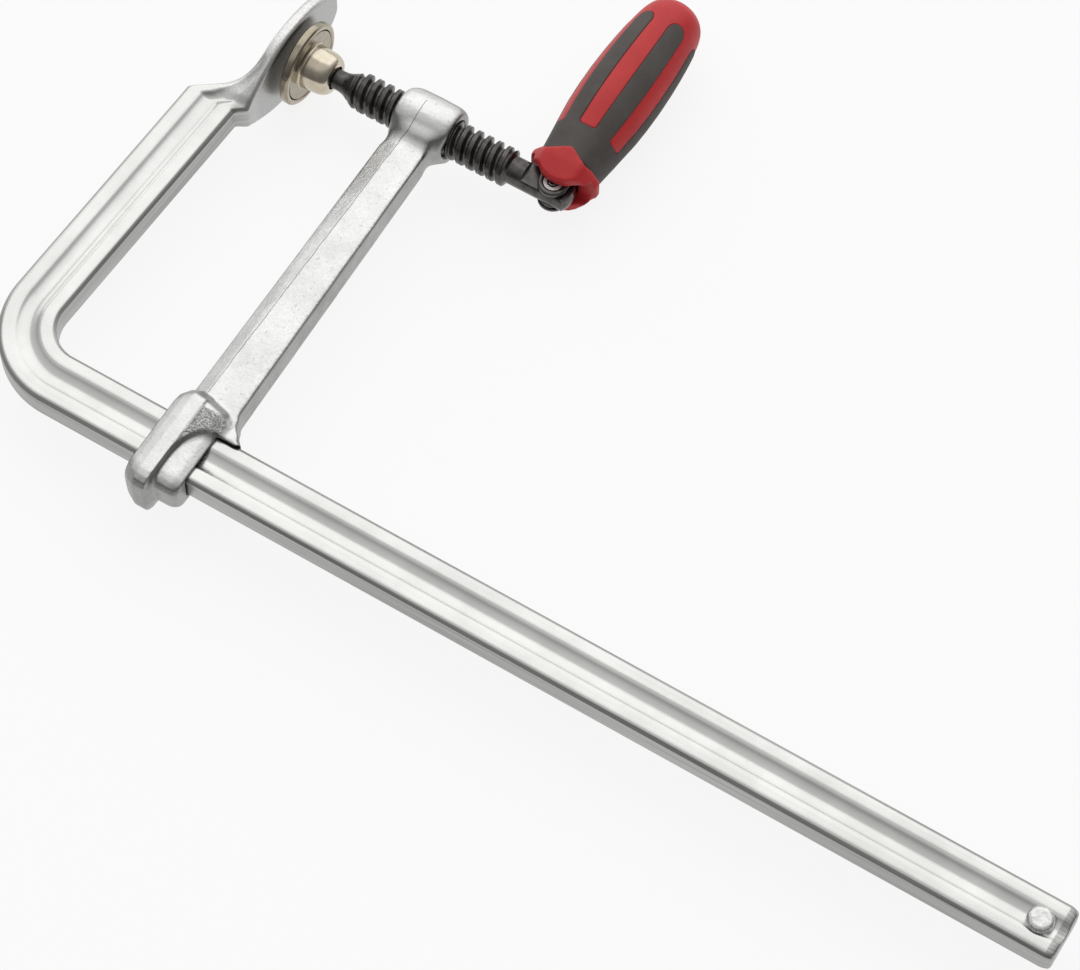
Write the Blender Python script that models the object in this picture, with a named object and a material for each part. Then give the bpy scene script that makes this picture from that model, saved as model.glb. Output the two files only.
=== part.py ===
"""All-steel bar clamp with a folding two-colour handle.

The clamp lies on its side. The origin is the centre of the fixed jaw's clamping face, on the
spindle's axis. +X runs along the rail and the spindle, away from the fixed jaw, +Y runs from the
rail out to the spindle, and +Z is up. All sizes are in metres.
"""
import math

import bmesh
import bpy
from mathutils import Matrix, Vector

# Running gap between pieces that touch, and how far a cutter runs past what it cuts
GAP = 0.0003
OVERRUN = 0.002

# Clamp sizes: the throat is from the spindle's axis to the rail's near edge
THROAT = 0.175
RAIL_REACH = 0.4705
SPINDLE_LENGTH = 0.1293

# Rail and fixed arm: one hot-rolled bar with a shallow groove along both wide faces
RAIL_WIDTH = 0.0246
RAIL_THICKNESS = 0.0134
RAIL_CHAMFER_ACROSS = 0.0019
RAIL_CHAMFER_DOWN = 0.0015
GROOVE_WIDTH = 0.0104
GROOVE_DEPTH = 0.0021
RAIL_END_CHAMFER_LENGTH = 0.0036
RAIL_END_CHAMFER_DEPTH = 0.0014
BEND_RADIUS = 0.0277
ARM_LEAN_DEGREES = 2.8
ARM_SETBACK = 0.0151
GROOVE_POINTS = 7
BEND_STEPS = 16

# Fixed jaw: the end of the arm is forged flat into an oval plate
JAW_THICKNESS = 0.0062
JAW_HALF_WIDTH = 0.0206
JAW_NECK_HALF_WIDTH = 0.0080
JAW_TOP = 0.0345
JAW_WIDEST = 0.0040
JAW_NECK = 0.0360
JAW_KNEE = 0.0405
JAW_FRONT_KNEE_LENGTH = 0.0045
JAW_REAR_KNEE_SHARE = 0.16  # how far up the root the rear knee stays round
JAW_GROOVE_RUN_OUT = 0.0150
JAW_BACK_END = 0.0140
JAW_EDGE_ROUND = 0.0024
JAW_ROOT_STEPS = 12
JAW_TIP_STEPS = 9

# End stop: a domed rivet through the rail
RIVET_INSET = 0.0112
RIVET_SHANK_RADIUS = 0.0031
RIVET_HEAD_RADIUS = 0.0056
RIVET_HEAD_FLAT_RADIUS = 0.0045
RIVET_HEAD_HEIGHT = 0.0021

# Sliding arm: the beam
ARM_SLIDE_GAP = 0.0005
BEAM_LEFT = 0.0552
BEAM_WIDTH_AT_RAIL = 0.0236
BEAM_WIDTH_AT_BOSS = 0.0210
BEAM_BEVEL_AT_RAIL = 0.0068
BEAM_BEVEL_AT_BOSS = 0.0083
BEAM_HALF_THICKNESS = 0.0070
BEAM_NOSE_HALF_THICKNESS = 0.0025
BEAM_EDGE = 0.0010
BEAM_ROOT = 0.0130
BEAM_FILLET = 0.0042
FOOT_REACH = 0.0083
FOOT_HALF_THICKNESS = 0.0088
FOOT_STEPS = 6

# Sliding arm: the collar round the rail
COLLAR_LEFT = 0.0527
COLLAR_BEVEL_WIDTH = 0.0072
COLLAR_RIB_WIDTH = 0.0056
COLLAR_WIDTH = 0.0245
COLLAR_NOSE_HALF = 0.0085
COLLAR_RIB_HALF = 0.0132
COLLAR_BODY_HALF = 0.0122
COLLAR_LIP_HALF = 0.0080
COLLAR_RIB_DEPTH = 0.0139
COLLAR_BODY_DEPTH = 0.0089
COLLAR_EDGE_WIDTH = 0.0038
COLLAR_ROUND = 0.0072
COLLAR_SHOULDER = 0.0132
COLLAR_SHOULDER_SLOPE = 0.0056
PLATFORM_HALF = 0.0096
PLATFORM_WALL = 0.0042
ARCH_TOP_INSET = 0.0018
ARCH_DROP = 0.0133
SHOULDER_TIP_REACH = 0.0014

# Sliding arm: the threaded boss
BOSS_LEFT = 0.0530
BOSS_LENGTH = 0.0276
BOSS_RADIUS = 0.0135
BOSS_LEFT_ROUND = 0.0068
BOSS_LEFT_DROP = 0.0034
BOSS_RIGHT_ROUND = 0.0052
BOSS_RIGHT_DROP = 0.0025

# Spindle: a rounded trapezoidal thread
THREAD_RADIUS = 0.0086
THREAD_PITCH = 0.0050
THREAD_DEPTH = 0.0022
THREAD_WAIST_WIDTH = 0.0024
THREAD_MOUTH_WIDTH = 0.0039
THREAD_START = 0.0345
THREAD_END = 0.1076
THREAD_FLARE = 0.0120
NECK_RADIUS = 0.0045
BALL_RADIUS = 0.0060
SHANK_RADIUS = 0.00625
SHANK_FLAT_BACK = 0.0133
TONGUE_THICKNESS = 0.0074
EYE_RADIUS = 0.0094
SPINDLE_SEGMENTS = 16

# Swivel pad
PAD_STANDOFF = 0.0036
PAD_RADIUS = 0.01935
PAD_PLATE_THICKNESS = 0.0021
PAD_RIM_HEIGHT = 0.0041
PAD_RIM_WIDTH = 0.0028
SOCKET_FLANGE_THICKNESS = 0.0014
SOCKET_BASE_RADIUS = 0.0103
SOCKET_WALL_LENGTH = 0.0066
SOCKET_TOP_RADIUS = 0.0066
SOCKET_LIP_RADIUS = 0.0054
SOCKET_CAVITY_RADIUS = 0.0064
SOCKET_LENGTH = 0.0167
SOCKET_LIP_THICKNESS = 0.0021
RING_THICKNESS = 0.0010
RING_OUTER_RADIUS = 0.0054
RING_GROOVE_DEPTH = 0.0006

# Folding joint
PIN_RADIUS = 0.0041
PIN_BORE_RADIUS = 0.0030
SLEEVE_BORE_RADIUS = 0.0021
INNER_PIN_BORE_RADIUS = 0.0014
WASHER_THICKNESS = 0.0005
WASHER_RADIUS = 0.0058
CHEEK_THICKNESS = 0.0020
CHEEK_RADIUS = 0.0067
CHEEK_EDGE = 0.0006
WEB_LENGTH = 0.0110
TANG_RADIUS = 0.0045
TANG_END = 0.0640

# Handle: a hard core with a soft grip moulded over it
HANDLE_LENGTH = 0.1084
GRIP_START = 0.0060
HANDLE_RADIUS = 0.0176
HANDLE_PROFILE_SHARES = (
    (0.055, 0.778), (0.129, 0.795), (0.203, 0.847), (0.277, 0.903), (0.369, 0.966),
    (0.461, 0.994), (0.554, 1.000), (0.646, 0.983), (0.720, 0.955), (0.793, 0.915),
    (0.858, 0.864), (0.904, 0.812), (0.941, 0.733), (0.970, 0.591), (0.991, 0.386),
)
HANDLE_SEGMENTS = 36
GRIP_DEPTH = 0.0017
GRIP_PROUD = 0.0002
STRIPE_COUNT = 6
FINGER_HALF_ANGLE_DEGREES = 15.5
FINGER_TIP = 0.0925
FINGER_TIP_LENGTH = 0.0048
STRIPE_START = 0.0270
COLLAR_TOP_HALF_X = 0.0164
COLLAR_TOP_HALF_Z = 0.0150
MOUTH_HALF_X = 0.0155
MOUTH_HALF_Z = 0.0118
MOUTH_LIP = 0.0012
EAR_HALF_WIDTH = 0.0105
EAR_CORNER = 0.0038
COLLAR_SIDE = 0.0082
COLLAR_GABLE_TOP = 0.0156
COLLAR_GABLE_FOOT = 0.0104
COLLAR_GABLE_SIDE = 0.0116
COLLAR_GABLE_HALF_WIDTH = 0.0090

# Places worked out from the sizes above
RAIL_Y = -(THROAT + RAIL_WIDTH / 2)
SLIDE_Y = RAIL_Y + RAIL_WIDTH / 2 + ARM_SLIDE_GAP
BALL_X = PAD_STANDOFF + PAD_PLATE_THICKNESS + GAP + BALL_RADIUS
RIVET_X = RAIL_REACH - RIVET_INSET
TURN = 2 * math.pi


def clear_scene():
    for thing in list(bpy.data.objects):
        bpy.data.objects.remove(thing, do_unlink=True)


def smooth_share(t):
    """Ease from 0 to 1 with no slope at either end."""
    t = min(max(t, 0.0), 1.0)
    return t * t * (3 - 2 * t)


def mix(a, b, share):
    return a + (b - a) * share


def material(name, colour, roughness, metallic):
    made = bpy.data.materials.new(name)
    made.use_nodes = True
    shader = made.node_tree.nodes["Principled BSDF"]
    shader.inputs["Base Color"].default_value = (*colour, 1.0)
    shader.inputs["Roughness"].default_value = roughness
    shader.inputs["Metallic"].default_value = metallic
    return made


FINISHES = {
    "zinc": ("bright_zinc", (0.80, 0.80, 0.79), 0.30, 1.0),
    "forged": ("zinc_on_forging", (0.76, 0.76, 0.75), 0.42, 1.0),
    "oxide": ("black_oxide", (0.060, 0.055, 0.055), 0.45, 0.6),
    "nickel": ("warm_nickel", (0.74, 0.68, 0.56), 0.28, 1.0),
    "steel": ("bare_steel", (0.66, 0.66, 0.66), 0.30, 1.0),
    "red": ("red_plastic", (0.62, 0.035, 0.045), 0.42, 0.0),
    "grip": ("soft_grip", (0.085, 0.075, 0.070), 0.65, 0.0),
}


def make_object(name, bm, finish, smooth_degrees=35, round_piece=True):
    """Turn a bmesh into a named object with outward faces and its own material."""
    bmesh.ops.recalc_face_normals(bm, faces=bm.faces)
    mesh = bpy.data.meshes.new(name)
    bm.to_mesh(mesh)
    bm.free()
    made = bpy.data.objects.new(name, mesh)
    bpy.context.collection.objects.link(made)
    if round_piece:
        mesh.shade_smooth()
        mesh.set_sharp_from_angle(angle=math.radians(smooth_degrees))
    if finish is not None:
        label, colour, roughness, metallic = FINISHES[finish]
        mesh.materials.append(material(name + "_" + label, colour, roughness, metallic))
    return made


def apply_modifiers(target):
    """Replace the object's mesh with its evaluated one."""
    depsgraph = bpy.context.evaluated_depsgraph_get()
    depsgraph.update()
    baked = bpy.data.meshes.new_from_object(target.evaluated_get(depsgraph))
    target.modifiers.clear()
    target.data = baked


def combine(target, others, operation):
    """Boolean the other objects into the target, one by one, and remove them."""
    for other in others:
        step = target.modifiers.new("cut", "BOOLEAN")
        step.operation = operation
        step.solver = "EXACT"
        step.object = other
        apply_modifiers(target)
        bpy.data.objects.remove(other, do_unlink=True)
    return target


def tidy_faces(target, smooth_degrees=35):
    """Weld slivers left by a boolean and shade the round stretches smooth."""
    bm = bmesh.new()
    bm.from_mesh(target.data)
    bmesh.ops.remove_doubles(bm, verts=bm.verts, dist=GAP / 60)
    bmesh.ops.dissolve_degenerate(bm, edges=bm.edges, dist=GAP / 60)
    bm.to_mesh(target.data)
    bm.free()
    target.data.shade_smooth()
    target.data.set_sharp_from_angle(angle=math.radians(smooth_degrees))
    return target


def loft(rings):
    """Skin a row of rings with equal point counts and cap both ends."""
    bm = bmesh.new()
    rows = [[bm.verts.new(point) for point in ring] for ring in rings]
    count = len(rows[0])
    for low, high in zip(rows, rows[1:]):
        for i in range(count):
            j = (i + 1) % count
            bm.faces.new((low[i], low[j], high[j], high[i]))
    bm.faces.new(rows[0])
    bm.faces.new(rows[-1])
    return bm


def turned(profile, segments, axis="X", closed=False):
    """Spin a profile of (along, radius) points round an axis; radius 0 closes a pole."""
    bm = bmesh.new()
    spun = [bm.verts.new((along, radius, 0.0)) for along, radius in profile]
    edges = [bm.edges.new(pair) for pair in zip(spun, spun[1:])]
    if closed:
        edges.append(bm.edges.new((spun[-1], spun[0])))
    bmesh.ops.spin(bm, geom=spun + edges, cent=(0, 0, 0), axis=(1, 0, 0), angle=TURN,
                   steps=segments, use_merge=True)
    bmesh.ops.remove_doubles(bm, verts=bm.verts, dist=GAP / 60)
    if axis == "Y":
        bmesh.ops.rotate(bm, verts=bm.verts, matrix=Matrix.Rotation(math.pi / 2, 3, "Z"))
    if axis == "Z":
        bmesh.ops.rotate(bm, verts=bm.verts, matrix=Matrix.Rotation(-math.pi / 2, 3, "Y"))
    return bm


def prism(outline, low, high):
    """Extrude an XY outline from one Z level to another."""
    return loft([[Vector((x, y, z)) for x, y in outline] for z in (low, high)])


def arc(centre, radius, start, end, steps):
    """Points of a circular arc in the XY plane, angles in radians."""
    turns = [mix(start, end, i / steps) for i in range(steps + 1)]
    return [(centre[0] + radius * math.cos(a), centre[1] + radius * math.sin(a)) for a in turns]


# Rail, bend, fixed arm and jaw: one loft with a section that changes along the bar


def bar_section(centre, across, low, high, half_low, half_high, cut_across, cut_down, groove, swell):
    """Section of the bar: two grooved wide faces joined by chamfered or rounded edges.

    low and high are the section's reach on either side of its centre, half_low and half_high
    the half thickness there, groove the depth of the hollow and swell rounds the chamfers.
    """
    width = high - low
    face = []
    corner = (0.0, 0.5, 1.0)
    for t in corner:
        bulge = swell * (math.sqrt(2) - 1) / 2 * (1 - abs(2 * t - 1))
        face.append((low + cut_across * (t - bulge), half_low - cut_down * (1 - t - bulge)))
    hollow = min(width * GROOVE_WIDTH / RAIL_WIDTH, width - 2.3 * cut_across)
    for i in range(GROOVE_POINTS):
        t = i / (GROOVE_POINTS - 1)
        u = low + width / 2 + (t - 0.5) * hollow
        wall = mix(half_low, half_high, smooth_share((u - low) / width))
        face.append((u, wall - groove * math.sin(math.pi * t) ** 0.8))
    for t in reversed(corner):
        bulge = swell * (math.sqrt(2) - 1) / 2 * (1 - abs(2 * t - 1))
        face.append((high - cut_across * (t - bulge), half_high - cut_down * (1 - t - bulge)))
    outline = face + [(u, -z) for u, z in reversed(face)]
    return [centre + across * u + Vector((0, 0, z)) for u, z in outline]


def plain_bar(centre, across):
    half = RAIL_WIDTH / 2
    thick = RAIL_THICKNESS / 2
    return bar_section(centre, across, -half, half, thick, thick, RAIL_CHAMFER_ACROSS,
                       RAIL_CHAMFER_DOWN, GROOVE_DEPTH, 0.0)


def jaw_half_width(y):
    """Oval outline of the jaw plate, drawn in to the neck where it meets the arm."""
    if y >= -JAW_WIDEST:
        share = (y + JAW_WIDEST) / (JAW_TOP + JAW_WIDEST)
        return JAW_HALF_WIDTH * math.sqrt(max(0.0, 1 - share * share))
    share = max(0.0, (y + JAW_NECK) / (JAW_NECK - JAW_WIDEST))
    return mix(JAW_NECK_HALF_WIDTH, JAW_HALF_WIDTH, math.sin(math.pi / 2 * share))


def make_rail_bar():
    half = RAIL_WIDTH / 2
    thick = RAIL_THICKNESS / 2
    lean = math.radians(ARM_LEAN_DEGREES)
    inward = Vector((0, 1, 0))

    # free end with its chamfer, then the straight rail
    inset = RAIL_END_CHAMFER_DEPTH
    end = Vector((RAIL_REACH, RAIL_Y, 0))
    rings = [bar_section(end, inward, inset - half, half - inset, thick - inset, thick - inset,
                         RAIL_CHAMFER_ACROSS, RAIL_CHAMFER_DOWN, GROOVE_DEPTH - inset, 0.0)]
    rings.append(plain_bar(end - Vector((RAIL_END_CHAMFER_LENGTH, 0, 0)), inward))

    # bend: the arm's centre line passes ARM_SETBACK behind the jaw face on the spindle's axis
    turn = math.pi / 2 + lean
    heading = Vector((math.sin(lean), math.cos(lean), 0))
    arm_across = Vector((math.cos(lean), -math.sin(lean), 0))
    centre_y = RAIL_Y + BEND_RADIUS
    arc_end_y = centre_y + BEND_RADIUS * math.sin(lean)
    arc_end_x = -ARM_SETBACK + arc_end_y * math.tan(lean)
    centre_x = arc_end_x + BEND_RADIUS * math.cos(lean)
    bend_centre = Vector((centre_x, centre_y, 0))
    for i in range(BEND_STEPS + 1):
        angle = turn * i / BEND_STEPS
        across = Vector((math.sin(angle), math.cos(angle), 0))
        rings.append(plain_bar(bend_centre - across * BEND_RADIUS, across))

    # straight arm up to the knee, then the forged root of the jaw
    def arm_centre(y):
        return Vector((-ARM_SETBACK + y * math.tan(lean), y, 0))

    knee = arm_centre(-JAW_KNEE)
    rings.append(plain_bar(knee, arm_across))
    rear = knee.x - half
    front = knee.x + half
    root_length = JAW_KNEE - JAW_BACK_END
    for i in range(1, JAW_ROOT_STEPS + 1):
        share = (i / JAW_ROOT_STEPS) ** 1.25
        past_knee = root_length * share
        y = past_knee - JAW_KNEE
        settled = smooth_share(share * 2)
        sweep = share * share * (1 + JAW_REAR_KNEE_SHARE) / (share + JAW_REAR_KNEE_SHARE)
        low = -JAW_THICKNESS + (rear + JAW_THICKNESS) * (1 - sweep) ** 1.85
        high = front * (1 - smooth_share(past_knee / JAW_FRONT_KNEE_LENGTH))
        wide = mix(thick, jaw_half_width(y), smooth_share(past_knee / JAW_FRONT_KNEE_LENGTH))
        narrow = mix(thick, jaw_half_width(y), smooth_share(share * 1.6 - 0.6))
        rings.append(bar_section(Vector((0, y, 0)), Vector((1, 0, 0)), low, high, narrow, wide,
                                 mix(RAIL_CHAMFER_ACROSS, JAW_EDGE_ROUND, settled),
                                 mix(RAIL_CHAMFER_DOWN, JAW_EDGE_ROUND, settled),
                                 GROOVE_DEPTH * (1 - smooth_share(past_knee / JAW_GROOVE_RUN_OUT)),
                                 settled))

    # jaw plate: widths follow the oval, and the edge is rounded over at the tip
    start = math.asin((JAW_WIDEST - JAW_BACK_END) / (JAW_TOP + JAW_WIDEST))
    for i in range(1, JAW_TIP_STEPS + 1):
        angle = mix(start, math.pi / 2, i / (JAW_TIP_STEPS + 0.35))
        y = -JAW_WIDEST + (JAW_TOP + JAW_WIDEST) * math.sin(angle)
        wide = jaw_half_width(y)
        past = max(0.0, (y - JAW_TOP + JAW_EDGE_ROUND) / JAW_EDGE_ROUND)
        thin = JAW_EDGE_ROUND * (1 - math.sqrt(max(0.0, 1 - past * past)))
        edge_down = min(JAW_EDGE_ROUND, wide * 0.9)
        edge_across = min(JAW_EDGE_ROUND, (JAW_THICKNESS - 2 * thin) * 0.38)
        rings.append(bar_section(Vector((0, y, 0)), Vector((1, 0, 0)), thin - JAW_THICKNESS, -thin,
                                 wide, wide, edge_across, edge_down, 0.0, 1.0))
    bar = make_object("rail_bar", loft(rings), "zinc")

    hole = turned([(-RAIL_THICKNESS, 0), (-RAIL_THICKNESS, RIVET_SHANK_RADIUS + GAP),
                   (RAIL_THICKNESS, RIVET_SHANK_RADIUS + GAP), (RAIL_THICKNESS, 0)], 20, "Z")
    cutter = make_object("rivet_hole_cutter", hole, None)
    cutter.location = (RIVET_X, RAIL_Y, 0)
    combine(bar, [cutter], "DIFFERENCE")
    return tidy_faces(bar)


def make_end_stop_rivet():
    """Shank with a domed, slightly flattened head on each face of the rail."""
    under = RAIL_THICKNESS / 2 + GAP
    top = under + RIVET_HEAD_HEIGHT
    shoulder = under + RIVET_HEAD_HEIGHT * 0.45
    half = [(0.0, RIVET_SHANK_RADIUS), (under, RIVET_SHANK_RADIUS), (under, RIVET_HEAD_RADIUS),
            (shoulder, RIVET_HEAD_RADIUS), (top - RIVET_HEAD_HEIGHT * 0.15, RIVET_HEAD_FLAT_RADIUS),
            (top, RIVET_HEAD_FLAT_RADIUS * 0.78), (top, 0.0)]
    profile = [(-z, r) for z, r in reversed(half)] + half[1:]
    rivet = make_object("end_stop_rivet", turned(profile, 24, "Z"), "zinc")
    rivet.location = (RIVET_X, RAIL_Y, 0)
    return rivet


# Sliding arm: collar, beam and boss joined into one forging


def beam_ring(y, left, bevel, right, half, nose):
    """Section of the beam: a thin left nose, a broad bevel and a flat face, same on both sides."""
    upper = [(left, nose), (left + bevel, half), (right - BEAM_EDGE, half), (right, half - BEAM_EDGE)]
    outline = upper + [(x, -z) for x, z in reversed(upper)]
    return [Vector((x, y, z)) for x, z in outline]


def make_beam():
    """From the foot that bears on the rail's edge up into the boss, flared out at both ends."""
    root_y = SLIDE_Y + BEAM_ROOT
    boss_y = -BOSS_RADIUS * 0.5
    rings = []
    for i in range(FOOT_STEPS + 1):
        share = i / FOOT_STEPS
        right = BEAM_LEFT + BEAM_WIDTH_AT_RAIL + FOOT_REACH * (1 - share) ** 1.8
        half = mix(BEAM_HALF_THICKNESS, FOOT_HALF_THICKNESS, smooth_share(1 - share * 1.35))
        rings.append(beam_ring(mix(SLIDE_Y, root_y, share), BEAM_LEFT, BEAM_BEVEL_AT_RAIL, right,
                               half, BEAM_NOSE_HALF_THICKNESS))
    surface_y = -math.sqrt(BOSS_RADIUS ** 2 - BEAM_HALF_THICKNESS ** 2)
    for lift in (1.0, 0.55, 0.18, -0.1):
        y = surface_y - BEAM_FILLET * lift
        share = (y - root_y) / (boss_y - root_y)
        rise = BEAM_FILLET * 0.75 * (1 - lift) ** 2
        rings.append(beam_ring(y, BEAM_LEFT, mix(BEAM_BEVEL_AT_RAIL, BEAM_BEVEL_AT_BOSS, share),
                               BEAM_LEFT + mix(BEAM_WIDTH_AT_RAIL, BEAM_WIDTH_AT_BOSS, share),
                               BEAM_HALF_THICKNESS + rise, BEAM_NOSE_HALF_THICKNESS + rise * 0.6))
    rise = BEAM_FILLET * 0.9
    rings.append(beam_ring(boss_y, BEAM_LEFT, BEAM_BEVEL_AT_BOSS, BEAM_LEFT + BEAM_WIDTH_AT_BOSS,
                           BEAM_HALF_THICKNESS + rise, BEAM_NOSE_HALF_THICKNESS + rise * 0.6))
    return make_object("beam", loft(rings), "forged", round_piece=False)


def collar_ring(x, root, high_half, wall_in, wall_out, low_half, depth):
    """YZ outline of the collar at one place along the rail, wrapped round the rail's far edge.

    high_half is the half thickness beside the arm's root and low_half that of the platform;
    the step between them runs from wall_in to wall_out, and depth is the wrap past the rail.
    """
    inner = SLIDE_Y + root
    outer = RAIL_Y - RAIL_WIDTH / 2 - depth
    bend = min(COLLAR_ROUND, low_half * 0.72)
    upper = [(inner, BEAM_HALF_THICKNESS * 0.98),
             (inner - COLLAR_SHOULDER_SLOPE * 0.8, mix(BEAM_HALF_THICKNESS, high_half, 0.88)),
             (inner - COLLAR_SHOULDER_SLOPE, high_half),
             (wall_in, high_half), (mix(wall_in, wall_out, 0.6), mix(high_half, low_half, 0.85)),
             (wall_out, low_half)]
    for i in range(5):
        angle = math.pi / 2 * i / 4
        upper.append((outer + bend * (1 - math.sin(angle)), low_half - bend * (1 - math.cos(angle))))
    outline = upper + [(y, -z) for y, z in reversed(upper)]
    return [Vector((x, y, z)) for y, z in outline]


def make_collar():
    """Left bevel, rib, and the body whose platform ends in an arch below the arm's root."""
    rib_left = COLLAR_LEFT + COLLAR_BEVEL_WIDTH
    rib_right = rib_left + COLLAR_RIB_WIDTH
    right = COLLAR_LEFT + COLLAR_WIDTH
    edge = right - COLLAR_EDGE_WIDTH
    plain = RAIL_Y - RAIL_WIDTH * 0.2
    arch_top = RAIL_Y + RAIL_WIDTH / 2 - ARCH_TOP_INSET
    rib = (COLLAR_RIB_HALF, plain, plain - PLATFORM_WALL, COLLAR_RIB_HALF, COLLAR_RIB_DEPTH)
    rings = [
        collar_ring(COLLAR_LEFT, COLLAR_SHOULDER * 0.55, COLLAR_NOSE_HALF, plain,
                    plain - PLATFORM_WALL, COLLAR_NOSE_HALF, COLLAR_BODY_DEPTH),
        collar_ring(mix(COLLAR_LEFT, rib_left, 0.45), COLLAR_SHOULDER * 0.88,
                    mix(COLLAR_NOSE_HALF, COLLAR_RIB_HALF, 0.5), plain, plain - PLATFORM_WALL,
                    mix(COLLAR_NOSE_HALF, COLLAR_RIB_HALF, 0.5),
                    mix(COLLAR_BODY_DEPTH, COLLAR_RIB_DEPTH, 0.62)),
        collar_ring(rib_left, COLLAR_SHOULDER, *rib),
        collar_ring(rib_right, COLLAR_SHOULDER * 0.97, *rib),
    ]
    arch_shares = ((0.10, 1.00), (0.20, 0.62), (0.38, 0.36), (0.64, 0.17), (1.0, 0.0))
    for across, drop in arch_shares:
        x = mix(rib_right, edge, across)
        wall_in = arch_top - ARCH_DROP * drop
        rings.append(collar_ring(x, COLLAR_SHOULDER * mix(0.95, 0.80, across), COLLAR_BODY_HALF,
                                 wall_in, wall_in - PLATFORM_WALL, PLATFORM_HALF,
                                 mix(COLLAR_RIB_DEPTH, COLLAR_BODY_DEPTH, min(1.0, across * 5))))
    rings.append(collar_ring(mix(edge, right, 0.55), COLLAR_SHOULDER * 0.76,
                             mix(COLLAR_LIP_HALF, COLLAR_BODY_HALF, 0.72), arch_top,
                             arch_top - PLATFORM_WALL, mix(COLLAR_LIP_HALF, PLATFORM_HALF, 0.45),
                             COLLAR_BODY_DEPTH * 0.96))
    rings.append(collar_ring(right, COLLAR_SHOULDER * 0.70, COLLAR_LIP_HALF + GAP, arch_top,
                             arch_top - PLATFORM_WALL, COLLAR_LIP_HALF, COLLAR_BODY_DEPTH * 0.82))
    return make_object("collar", loft(rings), "forged", round_piece=False)


def make_shoulder():
    """Carries the collar's shoulder past its right end to the beam's foot, above the arch."""
    left = COLLAR_LEFT + COLLAR_WIDTH - COLLAR_EDGE_WIDTH * 1.3
    tip = BEAM_LEFT + BEAM_WIDTH_AT_RAIL + SHOULDER_TIP_REACH
    arch_top = RAIL_Y + RAIL_WIDTH / 2 - ARCH_TOP_INSET
    rings = []
    for share in (0.0, 0.35, 0.70, 1.0):
        crest = SLIDE_Y + COLLAR_SHOULDER * mix(0.80, 0.72, share) - COLLAR_SHOULDER_SLOPE
        high = mix(COLLAR_BODY_HALF * 0.97, FOOT_HALF_THICKNESS * 0.98, share ** 1.6)
        wall = mix(arch_top, SLIDE_Y, share)
        reach = PLATFORM_WALL * (1 - share * 0.9)
        upper = [(crest + COLLAR_SHOULDER_SLOPE, BEAM_HALF_THICKNESS * 0.9), (crest, high),
                 (wall, high), (wall - reach * 0.5, mix(high, RAIL_THICKNESS / 2, 0.65)),
                 (wall - reach, RAIL_THICKNESS / 2)]
        outline = upper + [(y, -z) for y, z in reversed(upper)]
        rings.append([Vector((mix(left, tip, share), y, z)) for y, z in outline])
    return make_object("shoulder", loft(rings), "forged", round_piece=False)


def rail_slot_cutter():
    half = RAIL_WIDTH / 2 + ARM_SLIDE_GAP
    thick = RAIL_THICKNESS / 2 + ARM_SLIDE_GAP
    upper = [(-half, thick - RAIL_CHAMFER_DOWN), (RAIL_CHAMFER_ACROSS - half, thick),
             (half - RAIL_CHAMFER_ACROSS, thick), (half, thick - RAIL_CHAMFER_DOWN)]
    outline = upper + [(u, -z) for u, z in reversed(upper)]
    low = COLLAR_LEFT - OVERRUN
    high = BEAM_LEFT + BEAM_WIDTH_AT_RAIL + FOOT_REACH + OVERRUN
    rings = [[Vector((x, RAIL_Y + u, z)) for u, z in outline] for x in (low, high)]
    return make_object("rail_slot_cutter", loft(rings), None)


def make_boss():
    """Barrel with rounded ends, bored for the spindle."""
    left = BOSS_LEFT
    right = BOSS_LEFT + BOSS_LENGTH
    profile = [(left, 0.0)]
    for i in range(6):
        angle = math.pi / 2 * i / 5
        profile.append((left + BOSS_LEFT_ROUND * (1 - math.cos(angle)),
                        BOSS_RADIUS - BOSS_LEFT_DROP * (1 - math.sin(angle)) - GAP / 2))
    profile.append((mix(left, right, 0.52), BOSS_RADIUS))
    for i in range(6):
        angle = math.pi / 2 * (1 - i / 5)
        profile.append((right - BOSS_RIGHT_ROUND * (1 - math.cos(angle)),
                        BOSS_RADIUS - BOSS_RIGHT_DROP * (1 - math.sin(angle)) - GAP / 2))
    profile.append((right, 0.0))
    return make_object("boss", turned(profile, 32), "forged")


def make_bore_cutter():
    bore = THREAD_RADIUS + GAP
    low = BOSS_LEFT - OVERRUN
    high = BOSS_LEFT + BOSS_LENGTH + OVERRUN
    return make_object("bore_cutter", turned([(low, 0.0), (low, bore), (high, bore), (high, 0.0)], 32),
                       None)


def make_sliding_arm():
    arm = make_object("sliding_arm", bmesh.new(), "forged")
    body = combine(make_collar(), [make_shoulder(), make_beam(), make_boss()], "UNION")
    combine(body, [rail_slot_cutter(), make_bore_cutter()], "DIFFERENCE")
    arm.data = body.data
    bpy.data.objects.remove(body, do_unlink=True)
    return tidy_faces(arm, 28)


# Spindle: a rod with a thread rolled along it and a flattened eye


def blank_radius(along):
    """Radius of the rod the thread is rolled on: two straight flares up to the crest."""
    share = (along - THREAD_START) / THREAD_FLARE + 1
    waist = mix(NECK_RADIUS, THREAD_RADIUS, 0.42)
    if share < 0.55:
        return mix(NECK_RADIUS, waist, max(0.0, share) / 0.55)
    return mix(waist, THREAD_RADIUS, (min(share, 1.0) - 0.55) / 0.45)


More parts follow.
